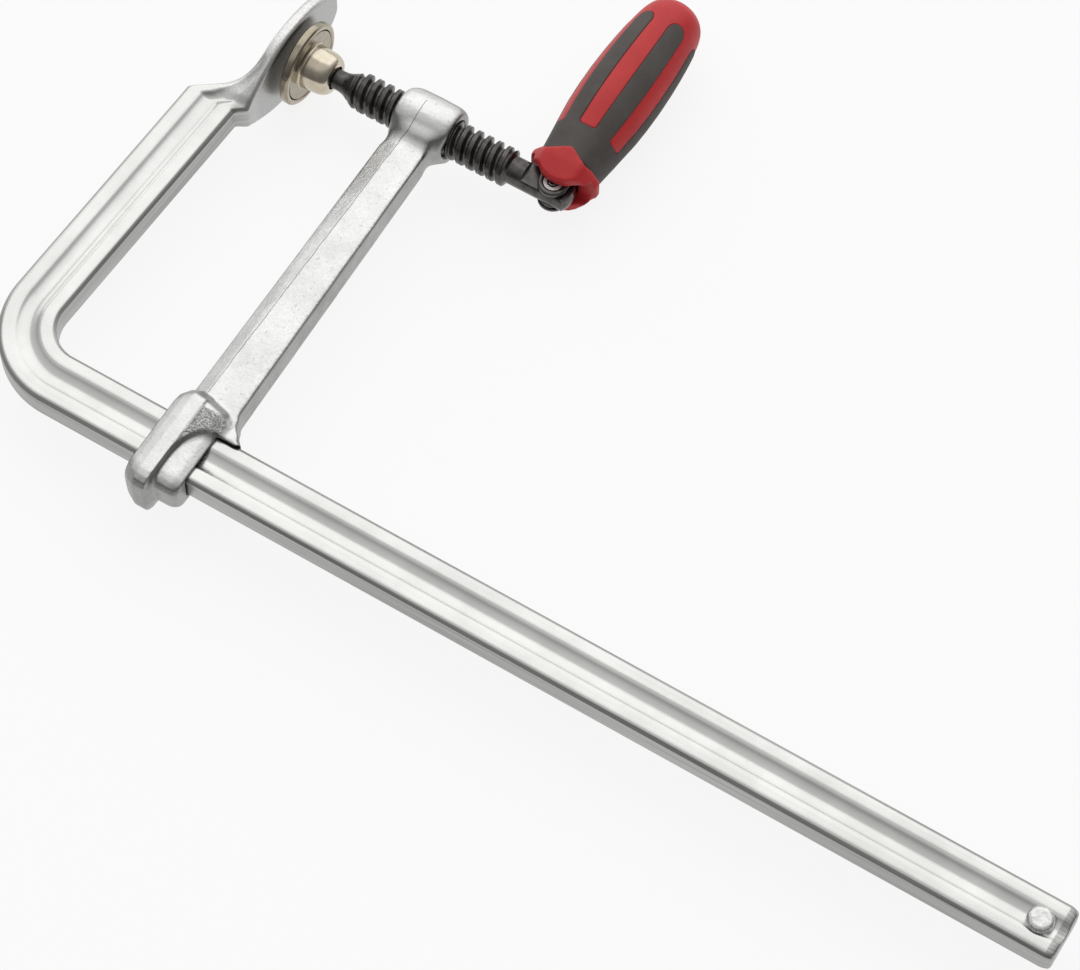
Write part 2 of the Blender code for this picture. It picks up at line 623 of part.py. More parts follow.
def threaded_rod(before, after, start, turns):
    """Skin of a rod: plain rings, rows that wind along the thread, then plain rings again.

    Each row follows one line of the thread's profile once round the rod and climbs one pitch, so
    its last point joins the first point of the row one turn on. The groove fades in and out over
    part of a turn. before and after are (along, radius) points that start and end on the axis.
    """
    bm = bmesh.new()
    columns = range(SPINDLE_SEGMENTS)
    last = SPINDLE_SEGMENTS - 1

    def point(along, radius, j):
        angle = TURN * j / SPINDLE_SEGMENTS
        return bm.verts.new((along, radius * math.cos(angle), radius * math.sin(angle)))

    def plain_rings(profile, pole):
        rings = [[point(along, radius, j) for j in columns] for along, radius in profile]
        for low, high in zip(rings, rings[1:]):
            for j in columns:
                bm.faces.new((low[j - 1], low[j], high[j], high[j - 1]))
        tip = bm.verts.new((pole[0], 0, 0))
        closed = min((rings[0], rings[-1]), key=lambda ring: abs(ring[0].co.x - pole[0]))
        for j in columns:
            bm.faces.new((closed[j - 1], closed[j], tip))
        return rings

    first = plain_rings(before[1:], before[0])[-1]
    end = plain_rings(after[:-1], after[-1])[0]

    groove = ((-THREAD_MOUTH_WIDTH / 2, 0.0), (-THREAD_WAIST_WIDTH / 2, 0.55), (0.0, 1.0),
              (THREAD_WAIST_WIDTH / 2, 0.55), (THREAD_MOUTH_WIDTH / 2, 0.0))
    lines = len(groove)
    rows = []
    for m in range(turns * lines + 1):
        offset, depth_share = groove[m % lines]
        rows.append([])
        for j in columns:
            travel = m // lines + j / SPINDLE_SEGMENTS
            along = start + offset + THREAD_PITCH * travel
            fade = smooth_share(min(travel, turns - 1 / SPINDLE_SEGMENTS - travel) / 0.6)
            depth = min(THREAD_DEPTH * fade, blank_radius(along) - NECK_RADIUS)
            rows[-1].append(point(along, blank_radius(along) - depth * depth_share, j))

    for low, high in zip(rows, rows[1:]):
        for j in range(last):
            bm.faces.new((low[j], low[j + 1], high[j + 1], high[j]))
    for m in range(len(rows) - lines - 1):
        bm.faces.new((rows[m][last], rows[m + lines][0], rows[m + lines + 1][0], rows[m + 1][last]))
    for j in range(last):
        bm.faces.new((first[j], first[j + 1], rows[0][j + 1], rows[0][j]))
        bm.faces.new((rows[-1][j], rows[-1][j + 1], end[j + 1], end[j]))
    bm.faces.new([first[last], first[0]] + [row[0] for row in rows[:lines + 1]] + [rows[0][last]])
    bm.faces.new([end[0], end[last]] + [row[last] for row in rows[:-lines - 2:-1]] + [rows[-1][0]])
    return bm


def make_spindle():
    """Ball end, neck, flare, thread, plain shank, then the flattened eye for the handle."""
    ball = [(BALL_X - BALL_RADIUS, 0.0)]
    seat = math.asin(NECK_RADIUS / BALL_RADIUS)
    for i in range(1, 9):
        angle = math.pi - (math.pi - seat) * i / 8
        ball.append((BALL_X + BALL_RADIUS * math.cos(angle), BALL_RADIUS * math.sin(angle)))
    ring_low, ring_high = ring_places()
    groove = NECK_RADIUS - RING_GROOVE_DEPTH
    neck_end = THREAD_START - THREAD_FLARE
    before = ball + [
        (ring_low - GAP, NECK_RADIUS), (ring_low - GAP, groove), (ring_high + GAP, groove),
        (ring_high + GAP, NECK_RADIUS), (neck_end, NECK_RADIUS)]
    after = [
        (THREAD_END, THREAD_RADIUS), (THREAD_END + (THREAD_RADIUS - SHANK_RADIUS) * 0.5, SHANK_RADIUS),
        (SPINDLE_LENGTH + EYE_RADIUS * 0.45, SHANK_RADIUS),
        (SPINDLE_LENGTH + EYE_RADIUS * 0.82, SHANK_RADIUS * 0.80),
        (SPINDLE_LENGTH + EYE_RADIUS, SHANK_RADIUS * 0.42), (SPINDLE_LENGTH + EYE_RADIUS, 0.0)]

    # as many whole turns as fit between the flare's foot and the thread's end, ending there
    edge = THREAD_MOUTH_WIDTH / 2
    last_turn = THREAD_PITCH * (1 - 1 / SPINDLE_SEGMENTS)
    turns = math.floor((THREAD_END - GAP - last_turn - (neck_end + GAP)) / THREAD_PITCH)
    start = THREAD_END - GAP - last_turn - turns * THREAD_PITCH + edge
    spindle = make_object("spindle", threaded_rod(before, after, start, turns), "oxide")

    flats = []
    step_x = SPINDLE_LENGTH - SHANK_FLAT_BACK
    far_x = SPINDLE_LENGTH + EYE_RADIUS + OVERRUN
    wide = EYE_RADIUS + OVERRUN
    for side in (1, -1):
        low, high = sorted((side * TONGUE_THICKNESS / 2, side * (THREAD_RADIUS + OVERRUN)))
        block = prism([(step_x, -wide), (far_x, -wide), (far_x, wide), (step_x, wide)], low, high)
        flats.append(make_object("flat_cutter", block, None))
    combine(spindle, flats, "DIFFERENCE")
    hole = PIN_RADIUS + GAP
    drill = make_object("eye_drill", turned([(-wide, 0.0), (-wide, hole), (wide, hole), (wide, 0.0)],
                                            24, "Z"), None)
    drill.location = (SPINDLE_LENGTH, 0, 0)
    combine(spindle, [drill], "DIFFERENCE")
    return tidy_faces(spindle, 30)


# Swivel pad: a plate whose rim holds the flange of the ball socket


def socket_end():
    return PAD_STANDOFF + SOCKET_LENGTH


def ring_places():
    """The retaining ring lies just behind the socket's lip."""
    high = socket_end() - SOCKET_LIP_THICKNESS - 2 * GAP
    return high - RING_THICKNESS, high


def make_pressure_plate():
    face = PAD_STANDOFF
    inner = face + PAD_PLATE_THICKNESS
    rim = face + PAD_RIM_HEIGHT
    lip = PAD_RADIUS - PAD_RIM_WIDTH
    soft = PAD_RIM_WIDTH * 0.25
    profile = [(face, 0.0), (face, PAD_RADIUS - soft), (face + soft, PAD_RADIUS),
               (rim - soft, PAD_RADIUS), (rim, PAD_RADIUS - soft), (rim, lip + soft),
               (rim - soft, lip), (inner, lip), (inner, 0.0)]
    plate = make_object("pressure_plate", turned(profile, 40), "nickel")
    return plate


def make_ball_socket():
    """Flanged cup with a straight cavity for the ball and a lip at its mouth."""
    base = PAD_STANDOFF + PAD_PLATE_THICKNESS + GAP
    flange = base + SOCKET_FLANGE_THICKNESS
    end = socket_end()
    lip = end - SOCKET_LIP_THICKNESS
    edge = PAD_RADIUS - PAD_RIM_WIDTH - GAP
    soft = SOCKET_FLANGE_THICKNESS * 0.4
    nose = flange + SOCKET_WALL_LENGTH
    dome = [(flange + soft, SOCKET_BASE_RADIUS + soft * 0.3), (nose, SOCKET_BASE_RADIUS * 0.96)]
    for i in range(1, 5):
        angle = math.pi / 2 * i / 4
        dome.append((mix(nose, end, math.sin(angle)),
                     mix(SOCKET_TOP_RADIUS, SOCKET_BASE_RADIUS * 0.96, math.cos(angle))))
    profile = [(base, SOCKET_CAVITY_RADIUS), (base, edge), (flange, edge),
               (flange, SOCKET_BASE_RADIUS + 2 * soft)] + dome + [
                   (end, SOCKET_LIP_RADIUS),
                   (lip, SOCKET_LIP_RADIUS), (lip, SOCKET_CAVITY_RADIUS)]
    return make_object("ball_socket", turned(profile, 36, closed=True), "nickel")


def make_retaining_ring():
    low, high = ring_places()
    inner = NECK_RADIUS - RING_GROOVE_DEPTH + GAP
    profile = [(low, inner), (low, RING_OUTER_RADIUS), (high, RING_OUTER_RADIUS), (high, inner)]
    return make_object("retaining_ring", turned(profile, 28, closed=True), "steel")


# Folding joint and handle, drawn about the hinge pin with the handle along +Y


def cheek_inside():
    """Where the cheeks start: the tongue, a friction washer and their running gaps."""
    return TONGUE_THICKNESS / 2 + WASHER_THICKNESS + 2 * GAP


def joint_half_thickness():
    return cheek_inside() + CHEEK_THICKNESS


def make_clevis():
    """Two cheeks round the spindle's eye, a web behind them and a tang into the handle."""
    inner = cheek_inside()
    outer = joint_half_thickness()
    web_y = EYE_RADIUS + 2 * GAP
    web_end = web_y + WEB_LENGTH

    def cheek_plan(radius, back):
        return arc((0, 0), radius, math.pi, TURN, 14) + [(radius, back), (-radius, back)]

    levels = ((-outer, CHEEK_EDGE), (CHEEK_EDGE - outer, 0.0), (outer - CHEEK_EDGE, 0.0),
              (outer, CHEEK_EDGE))
    clevis = make_object("handle_clevis", loft(
        [[Vector((x, y, z)) for x, y in cheek_plan(CHEEK_RADIUS - inset, web_end)]
         for z, inset in levels]), "oxide")
    slot = arc((0, 0), web_y, 0, math.pi, 14) + [(-web_y, -web_y), (web_y, -web_y)]
    slot_cutter = make_object("slot_cutter", prism(slot, -inner, inner), None)
    pin_hole = PIN_RADIUS + GAP
    drill = make_object("pin_drill", turned([(-web_y, 0.0), (-web_y, pin_hole), (web_y, pin_hole),
                                             (web_y, 0.0)], 24, "Z"), None)
    tang = make_object("tang", turned([(web_end - OVERRUN, 0.0), (web_end - OVERRUN, TANG_RADIUS),
                                       (TANG_END - OVERRUN, TANG_RADIUS),
                                       (TANG_END, TANG_RADIUS * 0.6), (TANG_END, 0.0)], 20, "Y"), None)
    combine(clevis, [tang], "UNION")
    combine(clevis, [slot_cutter, drill], "DIFFERENCE")
    return tidy_faces(clevis)


def make_friction_washer(name, side):
    """Thin washer between the spindle's tongue and one cheek, which keeps the handle where it is."""
    low, high = sorted((side * (TONGUE_THICKNESS / 2 + GAP),
                        side * (TONGUE_THICKNESS / 2 + GAP + WASHER_THICKNESS)))
    inner = PIN_RADIUS + GAP
    profile = [(low, inner), (low, WASHER_RADIUS), (high, WASHER_RADIUS), (high, inner)]
    return make_object(name, turned(profile, 28, "Z", closed=True), "steel")


def make_tube(name, outer, inner, half_length, finish, segments):
    profile = [(-half_length, inner), (-half_length, outer), (half_length, outer),
               (half_length, inner)]
    return make_object(name, turned(profile, segments, "Z", closed=True), finish)


def handle_radius(y):
    """Radius of the handle at one distance from the hinge, straight between the drawn stations."""
    along = y / HANDLE_LENGTH
    for (low, low_share), (high, high_share) in zip(HANDLE_PROFILE_SHARES, HANDLE_PROFILE_SHARES[1:]):
        if along <= high:
            return HANDLE_RADIUS * mix(low_share, high_share, (along - low) / (high - low))
    return HANDLE_RADIUS * HANDLE_PROFILE_SHARES[-1][1]


def handle_body(name, offset, low, high, finish, segments):
    """Solid of revolution that follows the handle's outline at an offset."""
    drawn = [HANDLE_LENGTH * along for along, across in HANDLE_PROFILE_SHARES]
    stations = [low] + [y for y in drawn if low < y < high]
    if high < HANDLE_LENGTH:
        stations.append(high)
    profile = [(low, 0.0)] + [(y, handle_radius(y) + offset) for y in stations] + [(high, 0.0)]
    return make_object(name, turned(profile, segments, "Y"), finish)


def finger(angle, spread, tip, margin):
    """Radial wedge with a rounded tip: one finger of the soft grip, drawn out from the axis."""
    outline = [(-1.0, 0.0), (-1.0, 1.0)]
    for i in range(1, 6):
        turn = math.pi * (1 - i / 6)
        outline.append((math.cos(turn), 1.0 + math.sin(turn)))
    outline += [(1.0, 1.0), (1.0, 0.0)]
    straight = tip - FINGER_TIP_LENGTH
    rings = []
    for radius in (TANG_RADIUS + OVERRUN, HANDLE_RADIUS + 2 * OVERRUN):
        ring = []
        for side, along in outline:
            across = side * (radius * math.tan(spread) + margin)
            if along <= 1.0:
                y = mix(STRIPE_START - OVERRUN, straight, along)
            else:
                y = straight + (FINGER_TIP_LENGTH + margin) * (along - 1.0)
            ring.append(Vector((across * math.cos(angle) + radius * math.sin(angle), y,
                                radius * math.cos(angle) - across * math.sin(angle))))
        rings.append(ring)
    return make_object("finger", loft(rings), None)


def grip_region(margin):
    """Everything that is soft grip: a neck band and one finger between each pair of stripes."""
    reach = HANDLE_RADIUS + 3 * OVERRUN
    band_end = STRIPE_START + margin
    region = make_object("grip_region", turned([(0.0, 0.0), (0.0, reach), (band_end, reach),
                                                (band_end, 0.0)],
                                               HANDLE_SEGMENTS, "Y"), None)
    spread = math.radians(FINGER_HALF_ANGLE_DEGREES)
    fingers = [finger(TURN * (i + 0.5) / STRIPE_COUNT, spread, FINGER_TIP, margin)
               for i in range(STRIPE_COUNT)]
    return combine(region, fingers, "UNION")


def gable_outline(margin):
    """Plan of the hard collar: rounded mouth towards the joint and a gable into the grip."""
    side = COLLAR_TOP_HALF_X + OVERRUN
    ear = [(-EAR_HALF_WIDTH, EAR_CORNER), (-EAR_HALF_WIDTH / 2, mix(-MOUTH_LIP, EAR_CORNER, 0.2)),
           (0.0, -MOUTH_LIP), (EAR_HALF_WIDTH / 2, mix(-MOUTH_LIP, EAR_CORNER, 0.2)),
           (EAR_HALF_WIDTH, EAR_CORNER)]
    foot = COLLAR_GABLE_FOOT + margin
    top = COLLAR_GABLE_SIDE + margin
    return ear + [(side, COLLAR_SIDE - OVERRUN), (side, top),
                  (COLLAR_TOP_HALF_X * 0.74, top), (COLLAR_GABLE_HALF_WIDTH, foot),
                  (0.0, COLLAR_GABLE_TOP + margin), (-COLLAR_GABLE_HALF_WIDTH, foot),
                  (-COLLAR_TOP_HALF_X * 0.74, top), (-side, top), (-side, COLLAR_SIDE - OVERRUN)]


def collar_shell():
    """Faceted sleeve of the hard core round the joint."""
    def facet_ring(y, half_x, half_z):
        upper = [(-half_x, half_z * 0.30), (-half_x * 0.60, half_z * 0.93), (-half_x * 0.48, half_z),
                 (half_x * 0.48, half_z), (half_x * 0.60, half_z * 0.93), (half_x, half_z * 0.30)]
        outline = upper + [(x, -z) for x, z in reversed(upper)]
        return [Vector((x, y, z)) for x, z in outline]

    return make_object("collar_shell", loft([
        facet_ring(-MOUTH_LIP - OVERRUN, MOUTH_HALF_X * 0.92, MOUTH_HALF_Z * 0.94),
        facet_ring(COLLAR_SIDE, mix(MOUTH_HALF_X, COLLAR_TOP_HALF_X, 0.8),
                   mix(MOUTH_HALF_Z, COLLAR_TOP_HALF_Z, 0.6)),
        facet_ring(COLLAR_GABLE_TOP + OVERRUN, COLLAR_TOP_HALF_X, COLLAR_TOP_HALF_Z),
    ]), "red")


def make_handle_core():
    """Hard core: faceted collar, inner body, stripes and end cap in one moulding."""
    reach = COLLAR_TOP_HALF_Z + OVERRUN
    collar = collar_shell()
    combine(collar, [make_object("gable", prism(gable_outline(0.0), -reach, reach), None)], "INTERSECT")
    body = handle_body("handle_core", 0.0, GRIP_START, HANDLE_LENGTH, "red", HANDLE_SEGMENTS)
    groove = handle_body("grip_pocket", OVERRUN, GRIP_START - OVERRUN, FINGER_TIP + OVERRUN, None,
                         HANDLE_SEGMENTS)
    kept = handle_body("pocket_floor", -GRIP_DEPTH, GRIP_START - OVERRUN * 2,
                       FINGER_TIP + OVERRUN * 2, None, HANDLE_SEGMENTS)
    combine(groove, [kept], "DIFFERENCE")
    combine(groove, [grip_region(GAP)], "INTERSECT")
    combine(body, [groove], "DIFFERENCE")
    combine(body, [collar], "UNION")

    # room for the joint: the shank swings through the sides, the eye and web fill the slot behind
    room = joint_half_thickness() + GAP
    eye_room = EYE_RADIUS + 2 * GAP
    wide = COLLAR_TOP_HALF_X + OVERRUN
    web_end = EYE_RADIUS + WEB_LENGTH + 3 * GAP
    web_half = CHEEK_RADIUS + GAP
    side = max(COLLAR_SIDE - GAP, math.sqrt(eye_room ** 2 - web_half ** 2))
    joint_gap = prism([(-wide, -wide), (wide, -wide), (wide, side), (web_half, side),
                       (web_half, web_end), (-web_half, web_end), (-web_half, side), (-wide, side)],
                      -room, room)
    tang_gap = turned([(web_end - OVERRUN, 0.0), (web_end - OVERRUN, TANG_RADIUS + GAP),
                       (TANG_END + GAP, TANG_RADIUS + GAP), (TANG_END + GAP, 0.0)], 20, "Y")
    cutters = [make_object("joint_room", bm, None) for bm in (joint_gap, tang_gap)]
    combine(body, cutters, "DIFFERENCE")
    return tidy_faces(body, 30)


def make_handle_grip():
    """Soft overmould: a neck sleeve with fingers that reach up between the stripes."""
    grip = handle_body("handle_grip", GRIP_PROUD, GRIP_START, FINGER_TIP + OVERRUN, "grip", HANDLE_SEGMENTS)
    inside = handle_body("grip_inside", GAP - GRIP_DEPTH, GRIP_START - OVERRUN,
                         FINGER_TIP + OVERRUN * 2, None, HANDLE_SEGMENTS)
    combine(grip, [inside], "DIFFERENCE")
    reach = COLLAR_TOP_HALF_Z + OVERRUN * 2
    collar_room = gable_outline(GAP)
    widest = COLLAR_TOP_HALF_X + OVERRUN * 2
    room = [(math.copysign(widest, x) if abs(x) > COLLAR_TOP_HALF_X else x,
             y if y > EAR_CORNER else -OVERRUN) for x, y in collar_room]
    combine(grip, [make_object("collar_room", prism(room, -reach, reach), None)], "DIFFERENCE")
    combine(grip, [grip_region(0.0)], "INTERSECT")
    return tidy_faces(grip, 30)


def hang(child, parent):
    """Parent one object to another and keep it where it is."""
    child.location = child.location - parent.matrix_world.translation
    child.parent = parent
    bpy.context.view_layer.update()


def main():
    clear_scene()
    rail_bar = make_rail_bar()
    hang(make_end_stop_rivet(), rail_bar)
    sliding_arm = make_sliding_arm()

    # the swivel pad and the spindle travel with the retaining ring
    retaining_ring = make_retaining_ring()
    hang(make_pressure_plate(), retaining_ring)
    hang(make_ball_socket(), retaining_ring)
    spindle = make_spindle()
    hang(spindle, retaining_ring)
    hang(retaining_ring, sliding_arm)

    # everything that folds is drawn about the hinge and carried by the clevis
    clevis = make_clevis()
    half = joint_half_thickness()
    folding = [
        make_tube("hinge_pin", PIN_RADIUS, PIN_BORE_RADIUS, half, "steel", 24),
        make_tube("hinge_sleeve", PIN_BORE_RADIUS - GAP, SLEEVE_BORE_RADIUS, half - GAP, "oxide", 20),
        make_tube("hinge_inner_pin", SLEEVE_BORE_RADIUS - GAP, INNER_PIN_BORE_RADIUS, half, "steel", 18),
        make_friction_washer("friction_washer_upper", 1),
        make_friction_washer("friction_washer_lower", -1),
        make_handle_core(),
        make_handle_grip(),
    ]
    for piece in folding:
        hang(piece, clevis)
    clevis.location = (SPINDLE_LENGTH, 0, 0)
    clevis.parent = spindle


main()
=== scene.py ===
"""Looks of the all-steel bar clamp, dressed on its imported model.

Everything is in metres in the clamp's own frame: the origin is the centre of the fixed jaw's
face, +X runs along the rail, +Y from the rail out to the spindle, and +Z is up.
"""

import math

import bmesh
import bpy
import numpy as np
from mathutils import Matrix, Vector


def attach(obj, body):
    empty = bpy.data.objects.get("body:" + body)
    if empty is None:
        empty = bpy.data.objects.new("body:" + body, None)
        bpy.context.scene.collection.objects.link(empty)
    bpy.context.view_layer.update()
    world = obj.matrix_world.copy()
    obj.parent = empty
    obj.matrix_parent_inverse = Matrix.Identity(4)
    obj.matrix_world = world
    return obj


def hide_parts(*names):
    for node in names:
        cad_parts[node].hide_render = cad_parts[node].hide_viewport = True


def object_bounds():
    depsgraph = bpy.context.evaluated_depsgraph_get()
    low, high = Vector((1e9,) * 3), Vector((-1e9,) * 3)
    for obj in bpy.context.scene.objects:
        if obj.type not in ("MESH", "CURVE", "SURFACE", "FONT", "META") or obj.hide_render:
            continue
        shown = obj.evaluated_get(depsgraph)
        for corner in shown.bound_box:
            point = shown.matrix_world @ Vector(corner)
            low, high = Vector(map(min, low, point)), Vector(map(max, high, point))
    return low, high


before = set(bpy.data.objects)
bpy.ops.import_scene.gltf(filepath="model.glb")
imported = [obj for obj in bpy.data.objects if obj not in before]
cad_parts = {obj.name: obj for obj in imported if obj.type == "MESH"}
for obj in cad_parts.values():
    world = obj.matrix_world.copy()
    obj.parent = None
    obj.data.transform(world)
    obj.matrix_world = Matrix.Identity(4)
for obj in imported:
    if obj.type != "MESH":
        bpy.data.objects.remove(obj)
cad_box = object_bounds()

# The camera looks down on the clamp as it lies on a table, from the rail's side. It is a long
# lens well back, with the view moved a little so that the clamp fills the picture.

camera_at = Vector((0.57378, -0.76269, 1.38246))
camera_right = Vector((0.852186, 0.523239, 0.0))
camera_up = Vector((-0.460529, 0.750051, 0.474696))
camera_back = Vector((0.248379, -0.404529, 0.880150))

camera_data = bpy.data.cameras.new("camera")
camera_data.lens = 129.17
camera_data.sensor_width = 36.0
camera_data.shift_x = 0.0324
camera_data.shift_y = -0.0083
camera_data.clip_start = 0.1
camera_data.clip_end = 50.0
camera = bpy.data.objects.new("camera", camera_data)
turn = Matrix((camera_right, camera_up, camera_back)).transposed().to_4x4()
camera.matrix_world = Matrix.Translation(camera_at) @ turn
bpy.context.scene.collection.objects.link(camera)
bpy.context.scene.camera = camera
bpy.context.scene.view_settings.view_transform = "Standard"


# The floor is a plain pale sheet that the clamp lies on. The room is darker towards its walls
# than overhead. A broad softbox hangs above and behind the clamp, and a small one stands to its
# left.


class Wire:
    """One output socket of a material; +, - and * between wires and numbers add Math nodes."""

    def __init__(self, paint, socket):
        self.paint = paint
        self.socket = socket

    def __add__(self, other):
        return self.paint.maths("ADD", self, other)

    def __radd__(self, other):
        return self.paint.maths("ADD", other, self)

    def __sub__(self, other):
        return self.paint.maths("SUBTRACT", self, other)

    def __rsub__(self, other):
        return self.paint.maths("SUBTRACT", other, self)

    def __mul__(self, other):
        return self.paint.maths("MULTIPLY", self, other)

    def __rmul__(self, other):
        return self.paint.maths("MULTIPLY", other, self)


class Paint:
    """The nodes of one material, or of the room, while they are being mixed."""

    def __init__(self, tree):
        self.tree = tree

    def node(self, kind, settings, sockets, output=0):
        """Any node: its settings first, then the values or wires of its sockets."""
        made = self.tree.nodes.new(kind)
        for words, value in settings.items():
            if words == "stops":
                ramp = made.color_ramp.elements
                ramp[0].position, ramp[0].color = value[0][0], (*value[0][1], 1.0)
                ramp[1].position, ramp[1].color = value[-1][0], (*value[-1][1], 1.0)
                for place, colour in value[1:-1]:
                    ramp.new(place).color = (*colour, 1.0)
            else:
                setattr(made, words, value)
        for which, value in sockets.items():
            self.feed(made.inputs[which], value)
        return Wire(self, made.outputs[output])

    def feed(self, socket, value):
        if isinstance(value, Wire):
            self.tree.links.new(value.socket, socket)
        else:
            socket.default_value = value

    def maths(self, operation, first, second=0.0):
        return self.node("ShaderNodeMath", {"operation": operation}, {0: first, 1: second})

    def place(self, stretch=(1.0, 1.0, 1.0)):
        """Object coordinates in metres, stretched along each axis."""
        where = self.node("ShaderNodeTexCoord", {}, {}, "Object")
        return self.node("ShaderNodeMapping", {}, {"Vector": where, "Scale": stretch})

    def noise(self, where, scale, detail=3.0, rough=0.55):
        return self.node("ShaderNodeTexNoise", {}, {"Vector": where, "Scale": scale, "Detail": detail,
                                                    "Roughness": rough})

    def between(self, value, low, high, out_low=0.0, out_high=1.0):
        """Map a stretch of values to another, smoothly at both ends."""
        return self.node("ShaderNodeMapRange", {"interpolation_type": "SMOOTHSTEP"},
                         {"Value": value, "From Min": low, "From Max": high,
                          "To Min": out_low, "To Max": out_high})

    def blend(self, share, first, second):
        """Colour between two, each a wire or three numbers."""
        ends = [c if isinstance(c, Wire) else (*c, 1.0) for c in (first, second)]
        return self.node("ShaderNodeMix", {"data_type": "RGBA"}, {0: share, 6: ends[0], 7: ends[1]}, 2)

    def bump(self, height, depth, strength=1.0, over=None):
        sockets = {"Height": height, "Distance": depth, "Strength": strength}
        if over is not None:
            sockets["Normal"] = over
        return self.node("ShaderNodeBump", {}, sockets)

    def attribute(self, name):
        return self.node("ShaderNodeAttribute", {"attribute_name": name}, {}, "Fac")

    def coordinate(self, name):
        """One of the three object coordinates."""
        where = self.node("ShaderNodeTexCoord", {}, {}, "Object")
        return self.node("ShaderNodeSeparateXYZ", {}, {0: where}, name)

    def shade(self, colour, roughness, normal):
        shader = self.tree.nodes["Principled BSDF"]
        self.feed(shader.inputs["Base Color"], colour)
        self.feed(shader.inputs["Roughness"], roughness)
        self.feed(shader.inputs["Normal"], normal)


def new_finish(name, metallic=0.0, **fixed):
    """A material with one Principled shader; fixed values go straight on the shader's sockets."""
    material = bpy.data.materials.new(name)
    material.use_nodes = True
    shader = material.node_tree.nodes["Principled BSDF"]
    shader.inputs["Metallic"].default_value = metallic
    for words, value in fixed.items():
        shader.inputs[words.replace("_", " ").title().replace("Ior", "IOR")].default_value = value
    return material, Paint(material.node_tree)


floor_gap = 0.0002
floor_reach = 30
floor_height = cad_box[0][2] - floor_gap
floor_corners = [(-floor_reach, -floor_reach, floor_height), (floor_reach, -floor_reach, floor_height),
                 (floor_reach, floor_reach, floor_height), (-floor_reach, floor_reach, floor_height)]
floor_mesh = bpy.data.meshes.new("floor")
floor_mesh.from_pydata(floor_corners, [], [(0, 1, 2, 3)])
floor = bpy.data.objects.new("floor", floor_mesh)
bpy.context.scene.collection.objects.link(floor)
floor_finish, paint = new_finish("pale_floor", base_color=(0.90, 0.90, 0.90, 1.0), roughness=0.9)
floor_mesh.materials.append(floor_finish)

# to the eye and in reflections the floor is whitened; the light it sheds stays as it is
white_share = 0.86
seen = paint.node("ShaderNodeLightPath", {}, {}, "Is Camera Ray")
mirrored = paint.node("ShaderNodeLightPath", {}, {}, "Is Glossy Ray")
through = paint.node("ShaderNodeLightPath", {}, {}, "Is Transmission Ray")
white = paint.node("ShaderNodeEmission", {}, {"Color": (1.0, 1.0, 1.0, 1.0), "Strength": 1.0})
plain = Wire(paint, floor_finish.node_tree.nodes["Principled BSDF"].outputs[0])
whitened = paint.node("ShaderNodeMixShader", {},
                      {0: (seen + mirrored + through) * white_share, 1: plain, 2: white})
paint.feed(floor_finish.node_tree.nodes["Material Output"].inputs["Surface"], whitened)

world = bpy.data.worlds.new("room")
world.use_nodes = True
bpy.context.scene.world = world
room = Paint(world.node_tree)
way = room.node("ShaderNodeTexCoord", {}, {}, "Generated")
aside = room.node("ShaderNodeSeparateXYZ", {}, {0: way}, "X")
depth = room.node("ShaderNodeSeparateXYZ", {}, {0: way}, "Y")
height = room.node("ShaderNodeSeparateXYZ", {}, {0: way}, "Z")
behind = room.maths("MAXIMUM", depth, 0.0)

# the room's light grows upwards, and less steeply towards the back and the left
back_weight = 0.7
front_weight = 0.3
side_weight = 0.4
brightness = height + behind * back_weight + (depth - behind) * front_weight - aside * side_weight
room_light = room.node("ShaderNodeValToRGB", {"stops": (
    (0.0, (0.20, 0.20, 0.20)), (0.45, (0.30, 0.30, 0.30)), (0.60, (0.43, 0.43, 0.43)),
    (0.72, (0.62, 0.62, 0.62)), (0.86, (0.74, 0.74, 0.74)), (1.0, (0.80, 0.80, 0.79)))},
    {"Fac": brightness})
room.feed(world.node_tree.nodes["Background"].inputs["Color"], room_light)


def softbox(name, towards, distance, wide, high, glow):
    """A rectangular lamp that faces the clamp's middle; glow is how bright its face looks."""
    middle = Vector((0.15, -0.08, 0.0))
    lamp = bpy.data.lights.new(name, "AREA")
    lamp.shape = "RECTANGLE"
    lamp.size = wide
    lamp.size_y = high
    lamp.energy = glow * math.pi * wide * high
    held = bpy.data.objects.new(name, lamp)
    away = Vector(towards).normalized()
    held.location = middle + away * distance
    held.rotation_euler = away.to_track_quat("Z", "Y").to_euler()
    bpy.context.scene.collection.objects.link(held)


softbox("overhead_softbox", towards=(-0.22, 0.70, 0.66), distance=2.4, wide=3.4, high=3.3, glow=0.74)
softbox("side_softbox", towards=(-0.95, 0.42, 0.28), distance=2.6, wide=1.0, high=1.1, glow=0.9)


# Rail, fixed arm and fixed jaw: one hot-rolled steel bar with a shallow groove along both faces,
# bent to a U and forged out to an oval jaw, then bright zinc plated. Fine lines run along it from
# the rolling. Its narrow edges and rounded end are rougher, and painted darker as painted shade.


def ease(t):
    """0 to 1 with no slope at either end."""
    t = np.clip(t, 0.0, 1.0)
    return t * t * (3 - 2 * t)


def mix(a, b, share):
    return a + (b - a) * share


